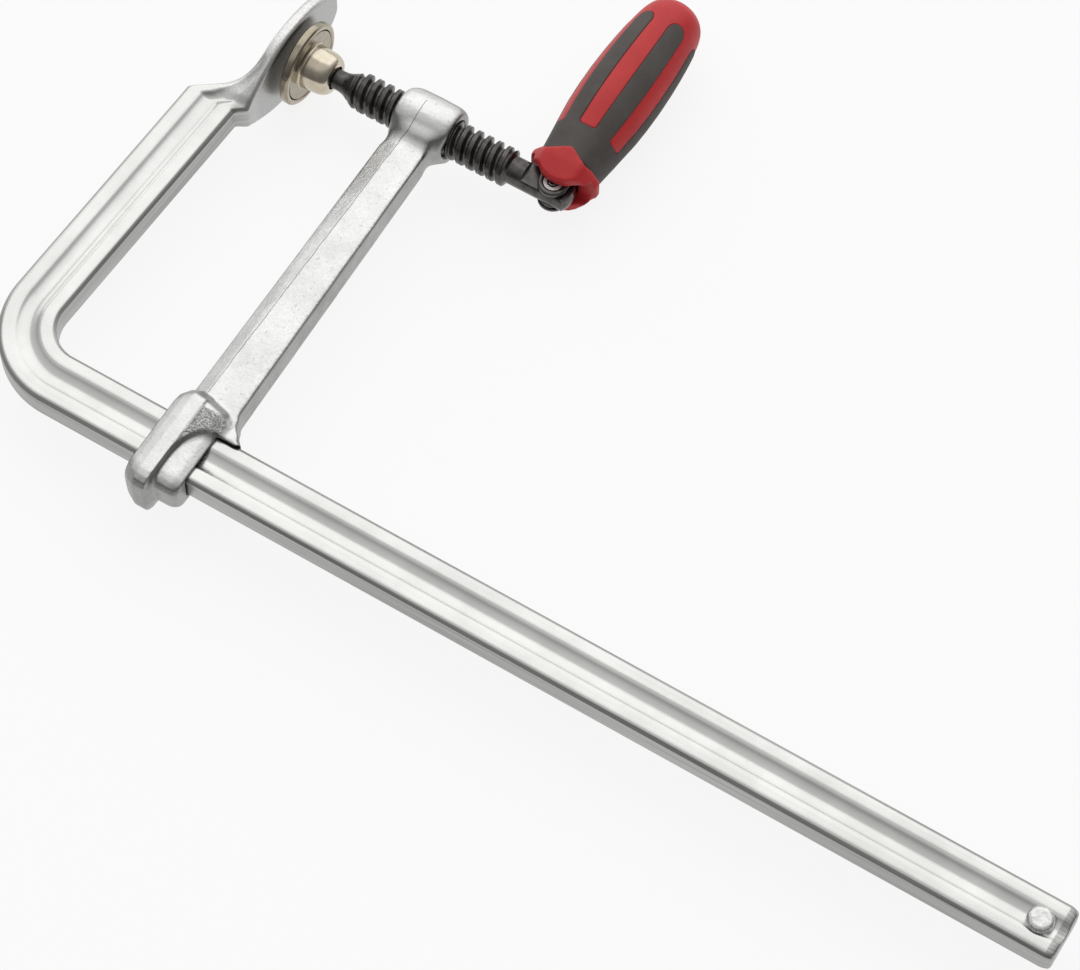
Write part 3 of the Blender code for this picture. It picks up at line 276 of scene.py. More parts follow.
def skin(name, grid, uv=None, extra=None, sharp=None):
    """Closed tube through a grid of points, rows along it and columns round it.

    Quads join neighbouring rows and columns, the last column joins the first, and a fan of
    triangles round the middle of each end row closes it. The signed volume, the sum of each
    face's corner products, tells whether the faces point in, and then they are turned round.
    """
    rows, columns = grid.shape[:2]
    row, column = np.meshgrid(np.arange(rows - 1), np.arange(columns), indexing="ij")
    after = (column + 1) % columns
    quads = np.stack((row * columns + column, row * columns + after,
                      (row + 1) * columns + after, (row + 1) * columns + column), -1).reshape(-1, 4)
    middles = np.stack((grid[0].mean(0), grid[-1].mean(0)))
    points = np.concatenate((grid.reshape(-1, 3), middles))
    ring = np.arange(columns)
    first = np.stack((np.full(columns, rows * columns), (ring + 1) % columns, ring), -1)
    last = np.stack((np.full(columns, rows * columns + 1), (rows - 1) * columns + ring,
                     (rows - 1) * columns + (ring + 1) % columns), -1)
    corners = points[quads]
    inward = np.einsum("ij,ij->i", corners[:, 0], np.cross(corners[:, 1], corners[:, 2]))
    inward += np.einsum("ij,ij->i", corners[:, 0], np.cross(corners[:, 2], corners[:, 3]))
    fans = points[np.concatenate((first, last))]
    capped = np.einsum("ij,ij->i", fans[:, 0], np.cross(fans[:, 1], fans[:, 2]))
    if inward.sum() + capped.sum() < 0:
        quads, first, last = quads[:, ::-1], first[:, ::-1], last[:, ::-1]
    mesh = bpy.data.meshes.new(name)
    mesh.from_pydata(points.tolist(), [], quads.tolist() + first.tolist() + last.tolist())
    if uv is not None:
        along, round_it = uv
        wrapped = np.append(round_it, 2 * round_it[-1] - round_it[-2])
        flat = np.stack(np.meshgrid(along, wrapped, indexing="ij"), -1)
        picks = np.stack((flat[row, column], flat[row, column + 1], flat[row + 1, column + 1],
                          flat[row + 1, column]), 2).reshape(-1, 4, 2)
        if inward.sum() + capped.sum() < 0:
            picks = picks[:, ::-1]
        ends = np.zeros((2 * columns * 3, 2))
        mesh.uv_layers.new(name="along").data.foreach_set(
            "uv", np.concatenate((picks.reshape(-1, 2), ends)).ravel())
    for label, values in (extra or {}).items():
        full = np.concatenate((values.ravel(), values[0, :1], values[-1, :1]))
        mesh.attributes.new(label, "FLOAT", "POINT").data.foreach_set("value", full)
    mesh.shade_smooth()
    if sharp is not None:
        mesh.set_sharp_from_angle(angle=math.radians(sharp))
    made = bpy.data.objects.new(name, mesh)
    bpy.context.scene.collection.objects.link(made)
    return made


def dress(piece, finish, body, slot, *nodes):
    """Give a piece its finish, let it ride on its body and stand for its CAD nodes."""
    piece.data.materials.clear()
    piece.data.materials.append(finish)
    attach(piece, body)
    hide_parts(*nodes)


throat = 0.175
rail_width = 0.0246
rail_thickness = 0.0134
rail_y = -(throat + rail_width / 2)
rail_reach = 0.4705
bend_radius = 0.0277
lean = math.radians(2.8)
arm_setback = 0.0151
groove_width = 0.0104
groove_depth = 0.0021
chamfer = (0.0019, 0.0015)
jaw_thickness = 0.0062
jaw_half_width = 0.0205
jaw_neck_half_width = 0.0080
jaw_top = 0.0345
jaw_widest = 0.0040
jaw_neck = 0.0360
jaw_knee = 0.0405
jaw_back_end = 0.0140
jaw_edge = 0.0026
jaw_rear_knee_share = 0.16
jaw_least_half_width = 0.0006
groove_power = 0.8
groove_margin = 2.3
end_round = 0.0014
front_knee = 0.0045
front_rise = 0.0080
lean_run_out = 0.0100
groove_run_out = 0.0210
rear_sweep_power = 1.85


def bar_rows(low, high, half_low, half_high, cut_across, cut_down, groove, swell):
    """Sections of the bar as (across, up) pairs, one row for each station.

    Each wide face is a side wall, a chamfer that swell rounds to a quarter circle, a land, a
    groove whose depth follows a power of a half sine, a land, a chamfer and a side wall. The
    groove leaves a margin, counted in chamfers, where the bar is narrow. The lower face mirrors
    the upper, and three passes of averaging with the two neighbours soften every corner.
    """
    low, high, half_low, half_high, cut_across, cut_down, groove, swell = (
        np.asarray(value, float)[:, None] for value in
        np.broadcast_arrays(low, high, half_low, half_high, cut_across, cut_down, groove, swell))
    width = high - low
    hollow = np.minimum(width * groove_width / rail_width, width - groove_margin * cut_across)

    def wall(u):
        return mix(half_low, half_high, ease((u - low) / width))

    rise = np.linspace(0.0, 1.0, 8, endpoint=False)[None]
    slope = np.linspace(0.0, 1.0, 9, endpoint=False)[None]
    quarter = slope * math.pi / 2
    start = low + width / 2 - hollow / 2
    dip = np.linspace(0.0, 1.0, 27)[None]
    pieces = [
        (low + 0 * rise, (half_low - cut_down) * rise),
        (low + cut_across * mix(slope, 1 - np.cos(quarter), swell),
         half_low - cut_down * mix(1 - slope, 1 - np.sin(quarter), swell)),
        (mix(low + cut_across, start, rise), wall(mix(low + cut_across, start, rise))),
        (start + hollow * dip, wall(start + hollow * dip)
         - groove * np.sin(math.pi * dip) ** groove_power),
        (mix(start + hollow, high - cut_across, rise[:, 1:]),
         wall(mix(start + hollow, high - cut_across, rise[:, 1:]))),
        (high - cut_across * mix(1 - slope, 1 - np.sin(quarter), swell),
         half_high - cut_down * mix(slope, 1 - np.cos(quarter), swell)),
        (high + 0 * rise, (half_high - cut_down) * (1 - rise)),
    ]
    across = np.concatenate([u + 0 * z for u, z in pieces], 1)
    up = np.concatenate([z + 0 * u for u, z in pieces], 1)
    across = np.concatenate((across, high, across[:, :0:-1]), 1)
    up = np.concatenate((up, 0 * high, -up[:, :0:-1]), 1)
    for _ in range(3):
        across = (np.roll(across, 1, 1) + 2 * across + np.roll(across, -1, 1)) / 4
        up = (np.roll(up, 1, 1) + 2 * up + np.roll(up, -1, 1)) / 4
    return across, up


def jaw_width_at(y):
    """Half width of the jaw: a half ellipse above its widest place, a sine run to its neck below."""
    above = np.clip((y + jaw_widest) / (jaw_top + jaw_widest), 0.0, 1.0)
    below = np.clip((y + jaw_neck) / (jaw_neck - jaw_widest), 0.0, 1.0)
    return np.where(y >= -jaw_widest, jaw_half_width * np.sqrt(1 - above ** 2),
                    mix(jaw_neck_half_width, jaw_half_width, np.sin(math.pi / 2 * below)))


half = rail_width / 2
thick = rail_thickness / 2

# free end and straight rail: an inset at the very end rounds it over
inset = np.array([1.0, 0.62, 0.34, 0.14, 0.03, 0.0, 0.0, 0.0]) * end_round
end_x = rail_reach - np.array([0.0, 0.0004, 0.0012, 0.0024, 0.0034, 0.0040, 0.2000, 0.3600])
flat = np.zeros(len(inset))
rail_rows = (np.stack((end_x, flat + rail_y), 1), np.stack((flat, flat + 1), 1), inset - half,
             half - inset, thick - inset, thick - inset, flat + chamfer[0], flat + chamfer[1],
             groove_depth - inset, flat)

# bend: the centre line turns about the bend's centre while the section keeps its size
bend_end_y = rail_y + bend_radius * (1 + math.sin(lean))
bend_x = -arm_setback + bend_end_y * math.tan(lean) + bend_radius * math.cos(lean)
angle = np.linspace(0.0, math.pi / 2 + lean, 49)
outward = np.stack((np.sin(angle), np.cos(angle)), 1)
flat = np.zeros(len(angle))
bend_rows = (np.array((bend_x, rail_y + bend_radius)) - outward * bend_radius, outward, flat - half,
             flat + half, flat + thick, flat + thick, flat + chamfer[0], flat + chamfer[1],
             flat + groove_depth, flat)

# arm: straight up to the knee
arm_y = np.linspace(bend_end_y, -jaw_knee, 12)[1:]
flat = np.zeros(len(arm_y))
arm_rows = (np.stack((-arm_setback + arm_y * math.tan(lean), arm_y), 1),
            np.stack((flat + math.cos(lean), flat - math.sin(lean)), 1), flat - half, flat + half,
            flat + thick, flat + thick, flat + chamfer[0], flat + chamfer[1], flat + groove_depth,
            flat)

# forged root: the front edge runs to the jaw's face and the back edge sweeps in to its back
share = np.linspace(0.0, 1.0, 61)[1:] ** 1.25
root = (jaw_knee - jaw_back_end) * share
root_y = root - jaw_knee
knee_x = -arm_setback - jaw_knee * math.tan(lean)
settled = ease(share * 2)
sweep = share ** 2 * (1 + jaw_rear_knee_share) / (share + jaw_rear_knee_share)
leaning = lean * (1 - ease(root / lean_run_out))
flat = np.zeros(len(root))
root_rows = (np.stack((flat + knee_x, root_y), 1), np.stack((np.cos(leaning), -np.sin(leaning)), 1),
             -jaw_thickness - knee_x
             + (knee_x - half + jaw_thickness) * (1 - sweep) ** rear_sweep_power,
             (knee_x + half) * (1 - ease(root / front_knee)) - knee_x,
             mix(thick, jaw_width_at(root_y), ease(share * 1.6 - 0.6)),
             mix(thick, jaw_width_at(root_y), ease(root / front_rise)),
             mix(chamfer[0], jaw_edge, settled), mix(chamfer[1], jaw_edge, settled),
             groove_depth * (1 - ease(root / groove_run_out)), settled)

# jaw plate: widths follow the oval and the edge is rounded over at the tip
start = math.asin((jaw_widest - jaw_back_end) / (jaw_top + jaw_widest))
angle = mix(start, math.pi / 2, np.linspace(0.0, 1.0, 57)[1:] ** 0.8 * 0.995)
jaw_y = -jaw_widest + (jaw_top + jaw_widest) * np.sin(angle)
wide = np.maximum(jaw_width_at(jaw_y), jaw_least_half_width)
thin = jaw_edge * (1 - np.sqrt(1 - np.clip((jaw_y - jaw_top + jaw_edge) / jaw_edge, 0, 1) ** 2))
flat = np.zeros(len(jaw_y))
jaw_rows = (np.stack((flat, jaw_y), 1), np.stack((flat + 1, flat), 1), thin - jaw_thickness, -thin,
            wide, wide, np.minimum(jaw_edge, (jaw_thickness - 2 * thin) * 0.42),
            np.minimum(jaw_edge, wide * 0.9), flat, flat + 1)

stations = [np.concatenate(columns) for columns in
            zip(rail_rows, bend_rows, arm_rows, root_rows, jaw_rows)]
centre, outward = stations[:2]
front, forging = stations[3], stations[9]
across, up = bar_rows(*stations[2:])
bar_grid = np.empty(across.shape + (3,))
bar_grid[..., :2] = centre[:, None] + outward[:, None] * across[..., None]
bar_grid[..., 2] = up

# the finish runs along the bar and round its plain section; the narrow edges and the rounded end
# are rougher and painted darker as painted shade, and a mask marks the front of the jaw, which is
# painted darker than its rim as painted shade
plain_row = 10
rounded_rows = 5
edge_share = 0.8
face_depth = 0.0006
face_ease = 0.0004
travel = np.append(0.0, np.cumsum(np.linalg.norm(np.diff(centre, axis=0), axis=1)))
girth = np.append(0.0, np.cumsum(np.hypot(np.diff(across[plain_row]), np.diff(up[plain_row]))))
edge = ((np.abs(across) > half - chamfer[0] * edge_share) * 1.0) * (1 - forging[:, None])
edge[:rounded_rows] = 1.0
for _ in range(2):
    edge = (np.roll(edge, 1, 1) + 2 * edge + np.roll(edge, -1, 1)) / 4
forged_share = np.repeat(forging[:, None], across.shape[1], 1)
# mask of the jaw's front face, which is painted darker as painted shade
facing = ease((across - front[:, None] + face_depth) / face_ease) * forged_share
rail_bar = skin("rail_bar_skin", bar_grid, (travel, girth),
                {"edge": edge, "forged": forged_share, "facing": facing})

zinc, paint = new_finish("bright_zinc", metallic=1.0)
lengthwise = paint.node("ShaderNodeUVMap", {"uv_map": "along"}, {}, 0)
drawn = paint.node("ShaderNodeMapping", {}, {"Vector": lengthwise, "Scale": (14.0, 2600.0, 1.0)})
lines = paint.noise(drawn, 1.0, 4.0, 0.6)
streaks = paint.noise(paint.node("ShaderNodeMapping", {}, {"Vector": lengthwise,
                                                           "Scale": (9.0, 900.0, 1.0)}), 1.0, 3.0)
blotches = paint.noise(paint.place(), 45.0, 4.0)
rough_and_shaded_edge = paint.attribute("edge")
hammered = paint.attribute("forged")
grains = paint.noise(paint.place(), 1100.0, 4.0, 0.65)
bright_colour = paint.blend(paint.between(blotches, 0.3, 0.7), (0.56, 0.557, 0.547), (0.63, 0.627, 0.617))
# painted shade: the narrow edges and the rounded end get this darker colour
edge_shade_colour = paint.blend(paint.between(streaks, 0.38, 0.62), (0.33, 0.33, 0.32), (0.45, 0.45, 0.44))
rim_colour = paint.blend(paint.between(grains, 0.35, 0.65), (0.54, 0.54, 0.53), (0.70, 0.70, 0.69))
# painted shade: the jaw's front face is darker than its rim
face_shade_colour = paint.blend(paint.between(grains, 0.35, 0.65), (0.43, 0.43, 0.43), (0.52, 0.52, 0.515))
forged_colour = paint.blend(paint.attribute("facing"), rim_colour, face_shade_colour)
colour = paint.blend(hammered, paint.blend(rough_and_shaded_edge, bright_colour, edge_shade_colour), forged_colour)
rough = paint.between(lines, 0.3, 0.7, 0.20, 0.30) + rough_and_shaded_edge * 0.10 + hammered * 0.12
relief = lines * (1 - hammered) * 0.00002 + grains * hammered * 0.00007
paint.shade(colour, rough, paint.bump(relief, 1.0, 0.4, over=paint.bump(blotches, 0.0002, 0.25)))
dress(rail_bar, zinc, "rail", "bright_zinc", "rail_bar")

# End stop: a steel rivet through the rail, hammered out to a low domed head on each face. It is
# plated together with the bar.


def soften(profile, spacing, passes):
    """Profile resampled at one spacing, then averaged with its neighbours to round its corners."""
    profile = np.asarray(profile, float)
    lengths = np.append(0.0, np.cumsum(np.hypot(*np.diff(profile, axis=0).T)))
    count = max(8, int(lengths[-1] / spacing))
    places = np.linspace(0.0, lengths[-1], count)
    fine = np.stack([np.interp(places, lengths, profile[:, i]) for i in range(2)], 1)
    for _ in range(passes):
        fine[1:-1] = (fine[:-2] + 2 * fine[1:-1] + fine[2:]) / 4
    return fine


def revolve(name, profile, columns, axis, centre=(0.0, 0.0, 0.0), **more):
    """Profile of (along, radius) pairs turned about X or Z: sine and cosine give the round."""
    angle = np.linspace(0.0, 2 * math.pi, columns, endpoint=False)
    along = np.repeat(profile[:, :1], columns, 1)
    wave = profile[:, 1:] * np.cos(angle)
    swing = profile[:, 1:] * np.sin(angle)
    order = {"X": (along, wave, swing), "Z": (wave, swing, along)}[axis]
    return skin(name, np.stack(order, -1) + np.asarray(centre), **more)


gap = 0.0003
rivet_inset = 0.0112
rivet_shank = 0.0031
rivet_head_height = 0.0021
rivet_x = rail_reach - rivet_inset
rivet_under = thick + 0.0001
rivet_top = thick + gap + rivet_head_height
head = [(0.0, rivet_shank), (rivet_under, rivet_shank), (rivet_under, 0.0056),
        (rivet_under + 0.0008, 0.0057), (rivet_top - 0.0004, 0.0048), (rivet_top, 0.0038),
        (rivet_top - 0.00005, 0.0)]
whole = [(-z, r) for z, r in reversed(head)] + head[1:]
rivet = revolve("end_stop_rivet_skin", soften(whole, 0.00015, 4), 72, "Z", (rivet_x, rail_y, 0.0))

headed, paint = new_finish("headed_zinc", metallic=1.0)
dents = paint.noise(paint.place(), 420.0, 3.0)
paint.shade(paint.blend(paint.between(dents, 0.3, 0.7), (0.52, 0.52, 0.51), (0.70, 0.70, 0.69)),
            paint.between(dents, 0.3, 0.7, 0.24, 0.36), paint.bump(dents, 0.0004, 0.6))
dress(rivet, headed, "rail", "bright_zinc", "end_stop_rivet")

# Sliding arm: a drop forging in one piece from its collar to its threaded boss, tumbled and
# zinc plated. Its corners are soft, and a wavy line shows where the flash was trimmed.

slot_end_y = -0.1745
lip_reach = 0.0019
lip_left = 0.0740
lip_left_ease = 0.0030
lip_right = 0.0856
lip_right_ease = 0.0015
lip_fade = 0.0030
lip_underside = 0.00685
neck_low_y = -0.0200
neck_high_y = -0.0060
neck_ease = 0.0040


def merged_copy(node, name):
    """Copy of a CAD node with its loose triangles merged and its flat faces made whole."""
    bm = bmesh.new()
    bm.from_mesh(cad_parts[node].data)
    bmesh.ops.remove_doubles(bm, verts=bm.verts, dist=0.000005)
    bmesh.ops.dissolve_limit(bm, angle_limit=0.01, verts=bm.verts, edges=bm.edges)
    mesh = bpy.data.meshes.new(name)
    bm.to_mesh(mesh)
    bm.free()
    made = bpy.data.objects.new(name, mesh)
    bpy.context.scene.collection.objects.link(made)
    return made


def settle(piece):
    """Replace a piece's mesh by what its modifiers make of it."""
    graph = bpy.context.evaluated_depsgraph_get()
    baked = bpy.data.meshes.new_from_object(piece.evaluated_get(graph))
    piece.modifiers.clear()
    piece.data = baked


def vertex_points(mesh):
    points = np.empty(len(mesh.vertices) * 3)
    mesh.vertices.foreach_get("co", points)
    return points.reshape(-1, 3)


def relax(mesh, share, passes):
    """Move every vertex towards the mean of its neighbours, by its own share, pass after pass."""
    points = vertex_points(mesh)
    ends = np.empty(len(mesh.edges) * 2, dtype=np.int32)
    mesh.edges.foreach_get("vertices", ends)
    here, there = np.concatenate((ends.reshape(-1, 2), ends.reshape(-1, 2)[:, ::-1])).T
    neighbours = np.bincount(here, minlength=len(points))[:, None]
    for _ in range(passes):
        sums = np.stack([np.bincount(here, points[there, i], len(points)) for i in range(3)], 1)
        points += (sums / neighbours - points) * share[:, None]
    mesh.vertices.foreach_set("co", points.ravel())
    mesh.update()


arm = merged_copy("sliding_arm", "sliding_arm_skin")
remesh = arm.modifiers.new("even_skin", "REMESH")
remesh.mode = "VOXEL"
remesh.voxel_size = 0.00055
settle(arm)

# the lip of the collar's right shoulder comes down over the rail's chamfer: round the end of the
# rail's slot, the skin above the rail's face moves towards the rail
points = vertex_points(arm.data)
past_slot = points[:, 1] - slot_end_y
lip = lip_reach * ease((points[:, 0] - lip_left) / lip_left_ease)
lip *= 1 - ease((points[:, 0] - lip_right) / lip_right_ease)
lip *= np.clip(1 + past_slot / lip_reach, 0.0, 1.0) * (1 - ease(past_slot / lip_fade))
points[:, 1] -= np.where(np.abs(points[:, 2]) > lip_underside, lip, 0.0)
arm.data.vertices.foreach_set("co", points.ravel())
relax(arm.data, np.full(len(arm.data.vertices), 0.5), 5)

# where the beam meets the boss the skin is relaxed further, so that the two flow together
skin_y = vertex_points(arm.data)[:, 1]
at_neck = ease((skin_y - neck_low_y) / neck_ease) * ease((neck_high_y - skin_y) / neck_ease)
relax(arm.data, at_neck * 0.6, 60)
arm.data.shade_smooth()
normals = np.empty(len(arm.data.vertices) * 3)
arm.data.vertex_normals.foreach_get("vector", normals)
arm.data.attributes.new("upward", "FLOAT", "POINT").data.foreach_set("value", np.abs(normals[2::3]))

forged, paint = new_finish("forged_zinc", metallic=1.0)
x = paint.coordinate("X")
y = paint.coordinate("Y")
z = paint.coordinate("Z")
height = paint.maths("ABSOLUTE", z)
skin_grain = paint.noise(paint.place(), 900.0, 5.0, 0.6)
waves = paint.noise(paint.place((1.0, 0.5, 1.0)), 160.0, 4.0)
patches = paint.noise(paint.place(), 70.0, 4.0)

# trim line: thin and dark, wandering along the beam's wide faces and on to the boss's middle
on_boss = paint.between(y, -0.0160, -0.0100)
trim_x = 0.0633 + y * 0.0088 + waves * 0.0016 - 0.0008 + on_boss * 0.0012
off_trim = paint.maths("ABSOLUTE", x - trim_x)
on_beam = paint.between(y, -0.1630, -0.1600) * paint.between(y, 0.0045, 0.0035)
trim = paint.between(off_trim, 0.00028, 0.0) * on_beam * paint.between(height, 0.0055, 0.0062)

# pitted patch: the rough hollow on the collar, below the beam's foot
pitted = (paint.between(x, 0.0655, 0.0663) * paint.between(y, -0.1685, -0.1700)
          * paint.between(y - x * 0.62, -0.2248, -0.2240) * paint.between(height, 0.0095, 0.0102))
pits = paint.noise(paint.place(), 1500.0, 4.0, 0.7)

# painted light and shade: the wide faces, which face up, are painted bright, the sides darker as
# painted shade, and the rounded corners between them darkest as painted shade
upward = paint.attribute("upward")
lit_top_colour = paint.blend(paint.between(patches, 0.3, 0.7), (0.59, 0.59, 0.585), (0.68, 0.68, 0.67))
shaded_side_colour = paint.blend(paint.between(patches, 0.3, 0.7), (0.30, 0.30, 0.295), (0.40, 0.40, 0.39))
rounded_corner_shade = paint.between(upward, 0.22, 0.42) * paint.between(upward, 0.80, 0.66)
base = paint.blend(paint.between(upward, 0.40, 0.80), shaded_side_colour, lit_top_colour)
base = paint.blend(rounded_corner_shade * 0.75, base, (0.23, 0.23, 0.225))
specks = paint.noise(paint.place(), 620.0, 2.0)
base = paint.blend(paint.between(specks, 0.64, 0.72) * 0.45, base, (0.30, 0.30, 0.295))
base = paint.blend(trim * 0.75, base, (0.20, 0.20, 0.20))
base = paint.blend(pitted * paint.between(pits, 0.40, 0.56), base, (0.24, 0.24, 0.24))
worked = paint.bump(skin_grain, 0.0002, 0.6, over=paint.bump(patches, 0.0010, 0.4))
marked = paint.bump(1 - trim, 0.00015, 0.8, over=worked)
paint.shade(base, paint.between(skin_grain, 0.3, 0.7, 0.28, 0.42) + pitted * 0.15,
            paint.bump(pits * pitted, 0.0004, 0.9, over=marked))
dress(arm, forged, "arm", "zinc_on_forging", "sliding_arm")

# Spindle: a rod with a rounded trapezoidal thread rolled into it, a turned neck and ball at the
# pad, and a flattened eye for the handle. It is blackened and oiled.

spindle_length = 0.1293
thread_radius = 0.0086
thread_depth = 0.0022
thread_pitch = 0.0050
thread_start = 0.0345
thread_end = 0.1076
thread_offset = 0.0016
root_share = 0.16
flank_share = 0.52
seam_depth = 0.00018
seam_share = 0.16
flare_length = 0.0120
fade_in_start = 0.002
fade_in_length = 0.006
fade_out_start = 0.0022
fade_out_length = 0.0030
run_out = 0.0016
neck_radius = 0.0045
ball_radius = 0.0060
ball_x = 0.0120
shank_radius = 0.00625
eye_radius = 0.0094
tongue_half = 0.0037
tongue_length = 0.0133
step_x = spindle_length - tongue_length

# the blank before its thread is rolled: ball, neck, flare, rod, run-out, shank and eye
angle = np.linspace(0.0, 2 * math.pi, 96, endpoint=False)
ball_angle = np.linspace(math.pi, math.asin(neck_radius / ball_radius), 17)
tip_angle = np.linspace(0.0, math.pi / 2, 15)
neck_end = thread_start - flare_length
blank = np.concatenate((
    np.stack((ball_x + ball_radius * np.cos(ball_angle), ball_radius * np.sin(ball_angle)), 1),
    [(ring_x, neck_radius) for ring_x in (0.0172, 0.0195, 0.0210)],
    np.stack((np.linspace(neck_end, thread_start, 60),
              mix(neck_radius, thread_radius, ease(np.linspace(0, 1, 60) ** 1.25))), 1),
    np.stack((np.linspace(thread_start, thread_end, 400)[1:], np.full(399, thread_radius)), 1),
    np.stack((thread_end + np.linspace(0.0, run_out, 9)[1:],
              mix(thread_radius, shank_radius, ease(np.linspace(0, 1, 9)[1:]))), 1),
    [(step_x - 0.0002, shank_radius), (step_x - 0.00005, shank_radius),
     (step_x + 0.00005, shank_radius), (step_x + 0.0003, shank_radius)],
    np.stack((np.linspace(step_x + 0.001, spindle_length + 0.0069, 8), np.full(8, shank_radius)), 1),
    np.stack((spindle_length + np.sqrt(eye_radius ** 2 - (shank_radius * np.cos(tip_angle)) ** 2),
              shank_radius * np.cos(tip_angle) + 0.00002), 1)))
along = blank[:, :1]
plain = blank[:, 1:]

# the helix: phase is 0 in the middle of the thread's groove and 1 on its crest, where rolling
# leaves a small seam
turns = (along - thread_offset) / thread_pitch - angle[None] / (2 * math.pi)
phase = np.abs(turns - np.round(turns)) * 2
groove = 1 - ease((phase - root_share) / flank_share)
fade_in = ease((along - neck_end - fade_in_start) / fade_in_length)
fade_out = 1 - ease((along - thread_end + fade_out_start) / fade_out_length)
floor_radius = thread_radius - thread_depth
bottom = np.maximum(plain - floor_radius, 0.0)
radius = plain - np.minimum(bottom, thread_depth) * groove * fade_in * fade_out
radius -= seam_depth * np.exp(-((1 - phase) / seam_share) ** 2) * fade_in * fade_out
wave = radius * np.cos(angle)
swing = radius * np.sin(angle)
flattened = np.clip(swing, -tongue_half, tongue_half)
swing = np.where(along > step_x, flattened, swing)
spindle = skin("spindle_skin", np.stack((along + 0 * wave, wave, swing), -1), sharp=38)

oxide, paint = new_finish("black_oxide", metallic=0.85)
oily = paint.noise(paint.place(), 260.0, 4.0)
turned_lines = paint.noise(paint.place((2600.0, 60.0, 60.0)), 1.0, 3.0)
paint.shade(paint.blend(paint.between(oily, 0.3, 0.7), (0.060, 0.056, 0.055), (0.115, 0.108, 0.104)),
            paint.between(oily, 0.3, 0.7, 0.20, 0.32),
            paint.bump(turned_lines, 0.00003, 0.5, over=paint.bump(oily, 0.0001, 0.3)))
dress(spindle, oxide, "screw", "black_oxide", "spindle")

# Swivel pad: a pressed plate whose rim is rolled over the flange of a turned ball socket, both
# nickel plated with a warm tint. A bare steel ring behind the socket's lip keeps it on the ball.

pad_face = 0.0036
pad_radius = 0.01935
rim_width = 0.0028
rim_height = 0.0041
plate_thickness = 0.0021
corner = 0.0006
plate = [(pad_face, 0.0), (pad_face, pad_radius - corner), (pad_face + corner, pad_radius),
         (pad_face + rim_height - 0.0008, pad_radius), (pad_face + rim_height, pad_radius - 0.0009),
         (pad_face + rim_height, pad_radius - rim_width + corner),
         (pad_face + rim_height - corner, pad_radius - rim_width),
         (pad_face + plate_thickness, pad_radius - rim_width), (pad_face + plate_thickness, 0.0)]
pad = revolve("pressure_plate_skin", soften(plate, 0.00014, 5), 128, "X")

flange_thickness = 0.0014
wall_length = 0.0066
socket_length = 0.0167
socket_radius = 0.0103
nose_share = 0.96
top_radius = 0.0066
cavity_radius = 0.0064
lip_radius = 0.0054
lip_thickness = 0.0021
fillet = 0.0007
socket_base = pad_face + plate_thickness + gap
socket_flange = socket_base + flange_thickness
socket_nose = socket_flange + wall_length
socket_end = pad_face + socket_length
flange_radius = pad_radius - rim_width - gap
round_off = np.linspace(0.0, math.pi / 2, 12)
dome = np.stack((mix(socket_nose, socket_end, np.sin(round_off)),
                 mix(top_radius, socket_radius * nose_share, np.cos(round_off))), 1)
cup = np.concatenate((
    [(socket_base, cavity_radius), (socket_base, flange_radius), (socket_flange, flange_radius),
     (socket_flange, socket_radius + fillet), (socket_flange + fillet, socket_radius),
     (socket_nose, socket_radius * nose_share)], dome,
    [(socket_end, lip_radius), (socket_end - lip_thickness, lip_radius),
     (socket_end - lip_thickness, cavity_radius), (socket_base, cavity_radius)]))
socket = revolve("ball_socket_skin", soften(cup, 0.00014, 3), 128, "X")

nickel, paint = new_finish("warm_nickel", metallic=1.0)
worn = paint.noise(paint.place(), 240.0, 4.0)
rings = paint.noise(paint.place((2400.0, 40.0, 40.0)), 1.0, 3.0)
bright_nickel = paint.blend(paint.between(worn, 0.3, 0.7), (0.52, 0.46, 0.36), (0.62, 0.56, 0.46))
# painted shade: the plate and the socket's flange take a darker, browner nickel than the socket's body
brown_shaded_nickel = paint.blend(paint.between(worn, 0.3, 0.7), (0.29, 0.25, 0.19), (0.38, 0.34, 0.27))
on_socket = paint.between(paint.coordinate("X"), 0.0074, 0.0080)
paint.shade(paint.blend(on_socket, brown_shaded_nickel, bright_nickel),
            paint.between(worn, 0.3, 0.7, 0.12, 0.22),
            paint.bump(rings, 0.00002, 0.4, over=paint.bump(worn, 0.00015, 0.3)))
dress(pad, nickel, "swivel_pad", "warm_nickel", "pressure_plate")
dress(socket, nickel, "swivel_pad", "warm_nickel", "ball_socket")

steel, paint = new_finish("bare_steel", metallic=0.5)
turned_marks = paint.noise(paint.place(), 700.0, 3.0)
paint.shade(paint.blend(turned_marks, (0.52, 0.52, 0.53), (0.64, 0.64, 0.65)),
            paint.between(turned_marks, 0.3, 0.7, 0.26, 0.40), paint.bump(turned_marks, 0.00005, 0.4))
for node in ("retaining_ring", "friction_washer_upper", "friction_washer_lower"):
    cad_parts[node].material_slots[0].material = steel

# Folding joint: a steel clevis with thin cheeks round the spindle's eye, its sharp corners broken
# by a small bevel. A hollow pin, a dark sleeve and an inner tube lie one in the other through it.

cheek_thickness = 0.0020
washer_thickness = 0.0005
joint_half = tongue_half + washer_thickness + 2 * gap + cheek_thickness
sleeve_recess = 0.0005

clevis = merged_copy("handle_clevis", "handle_clevis_skin")
corners = clevis.modifiers.new("broken_corners", "BEVEL")
corners.width = 0.0003
corners.segments = 2
corners.limit_method = "ANGLE"
corners.angle_limit = math.radians(32)
settle(clevis)
clevis.data.shade_smooth()
clevis.data.set_sharp_from_angle(angle=math.radians(35))
dress(clevis, oxide, "handle", "black_oxide", "handle_clevis")


def pipe(name, outer, inner, half_length):
    """Tube along Z with rounded lips: a closed profile turned about the hinge."""
    loop = np.array([(-half_length, inner), (-half_length, outer), (half_length, outer),
                     (half_length, inner), (-half_length, inner)])
    return revolve(name, soften(loop, 0.0001, 2), 72, "Z", (spindle_length, 0.0, 0.0), sharp=20)


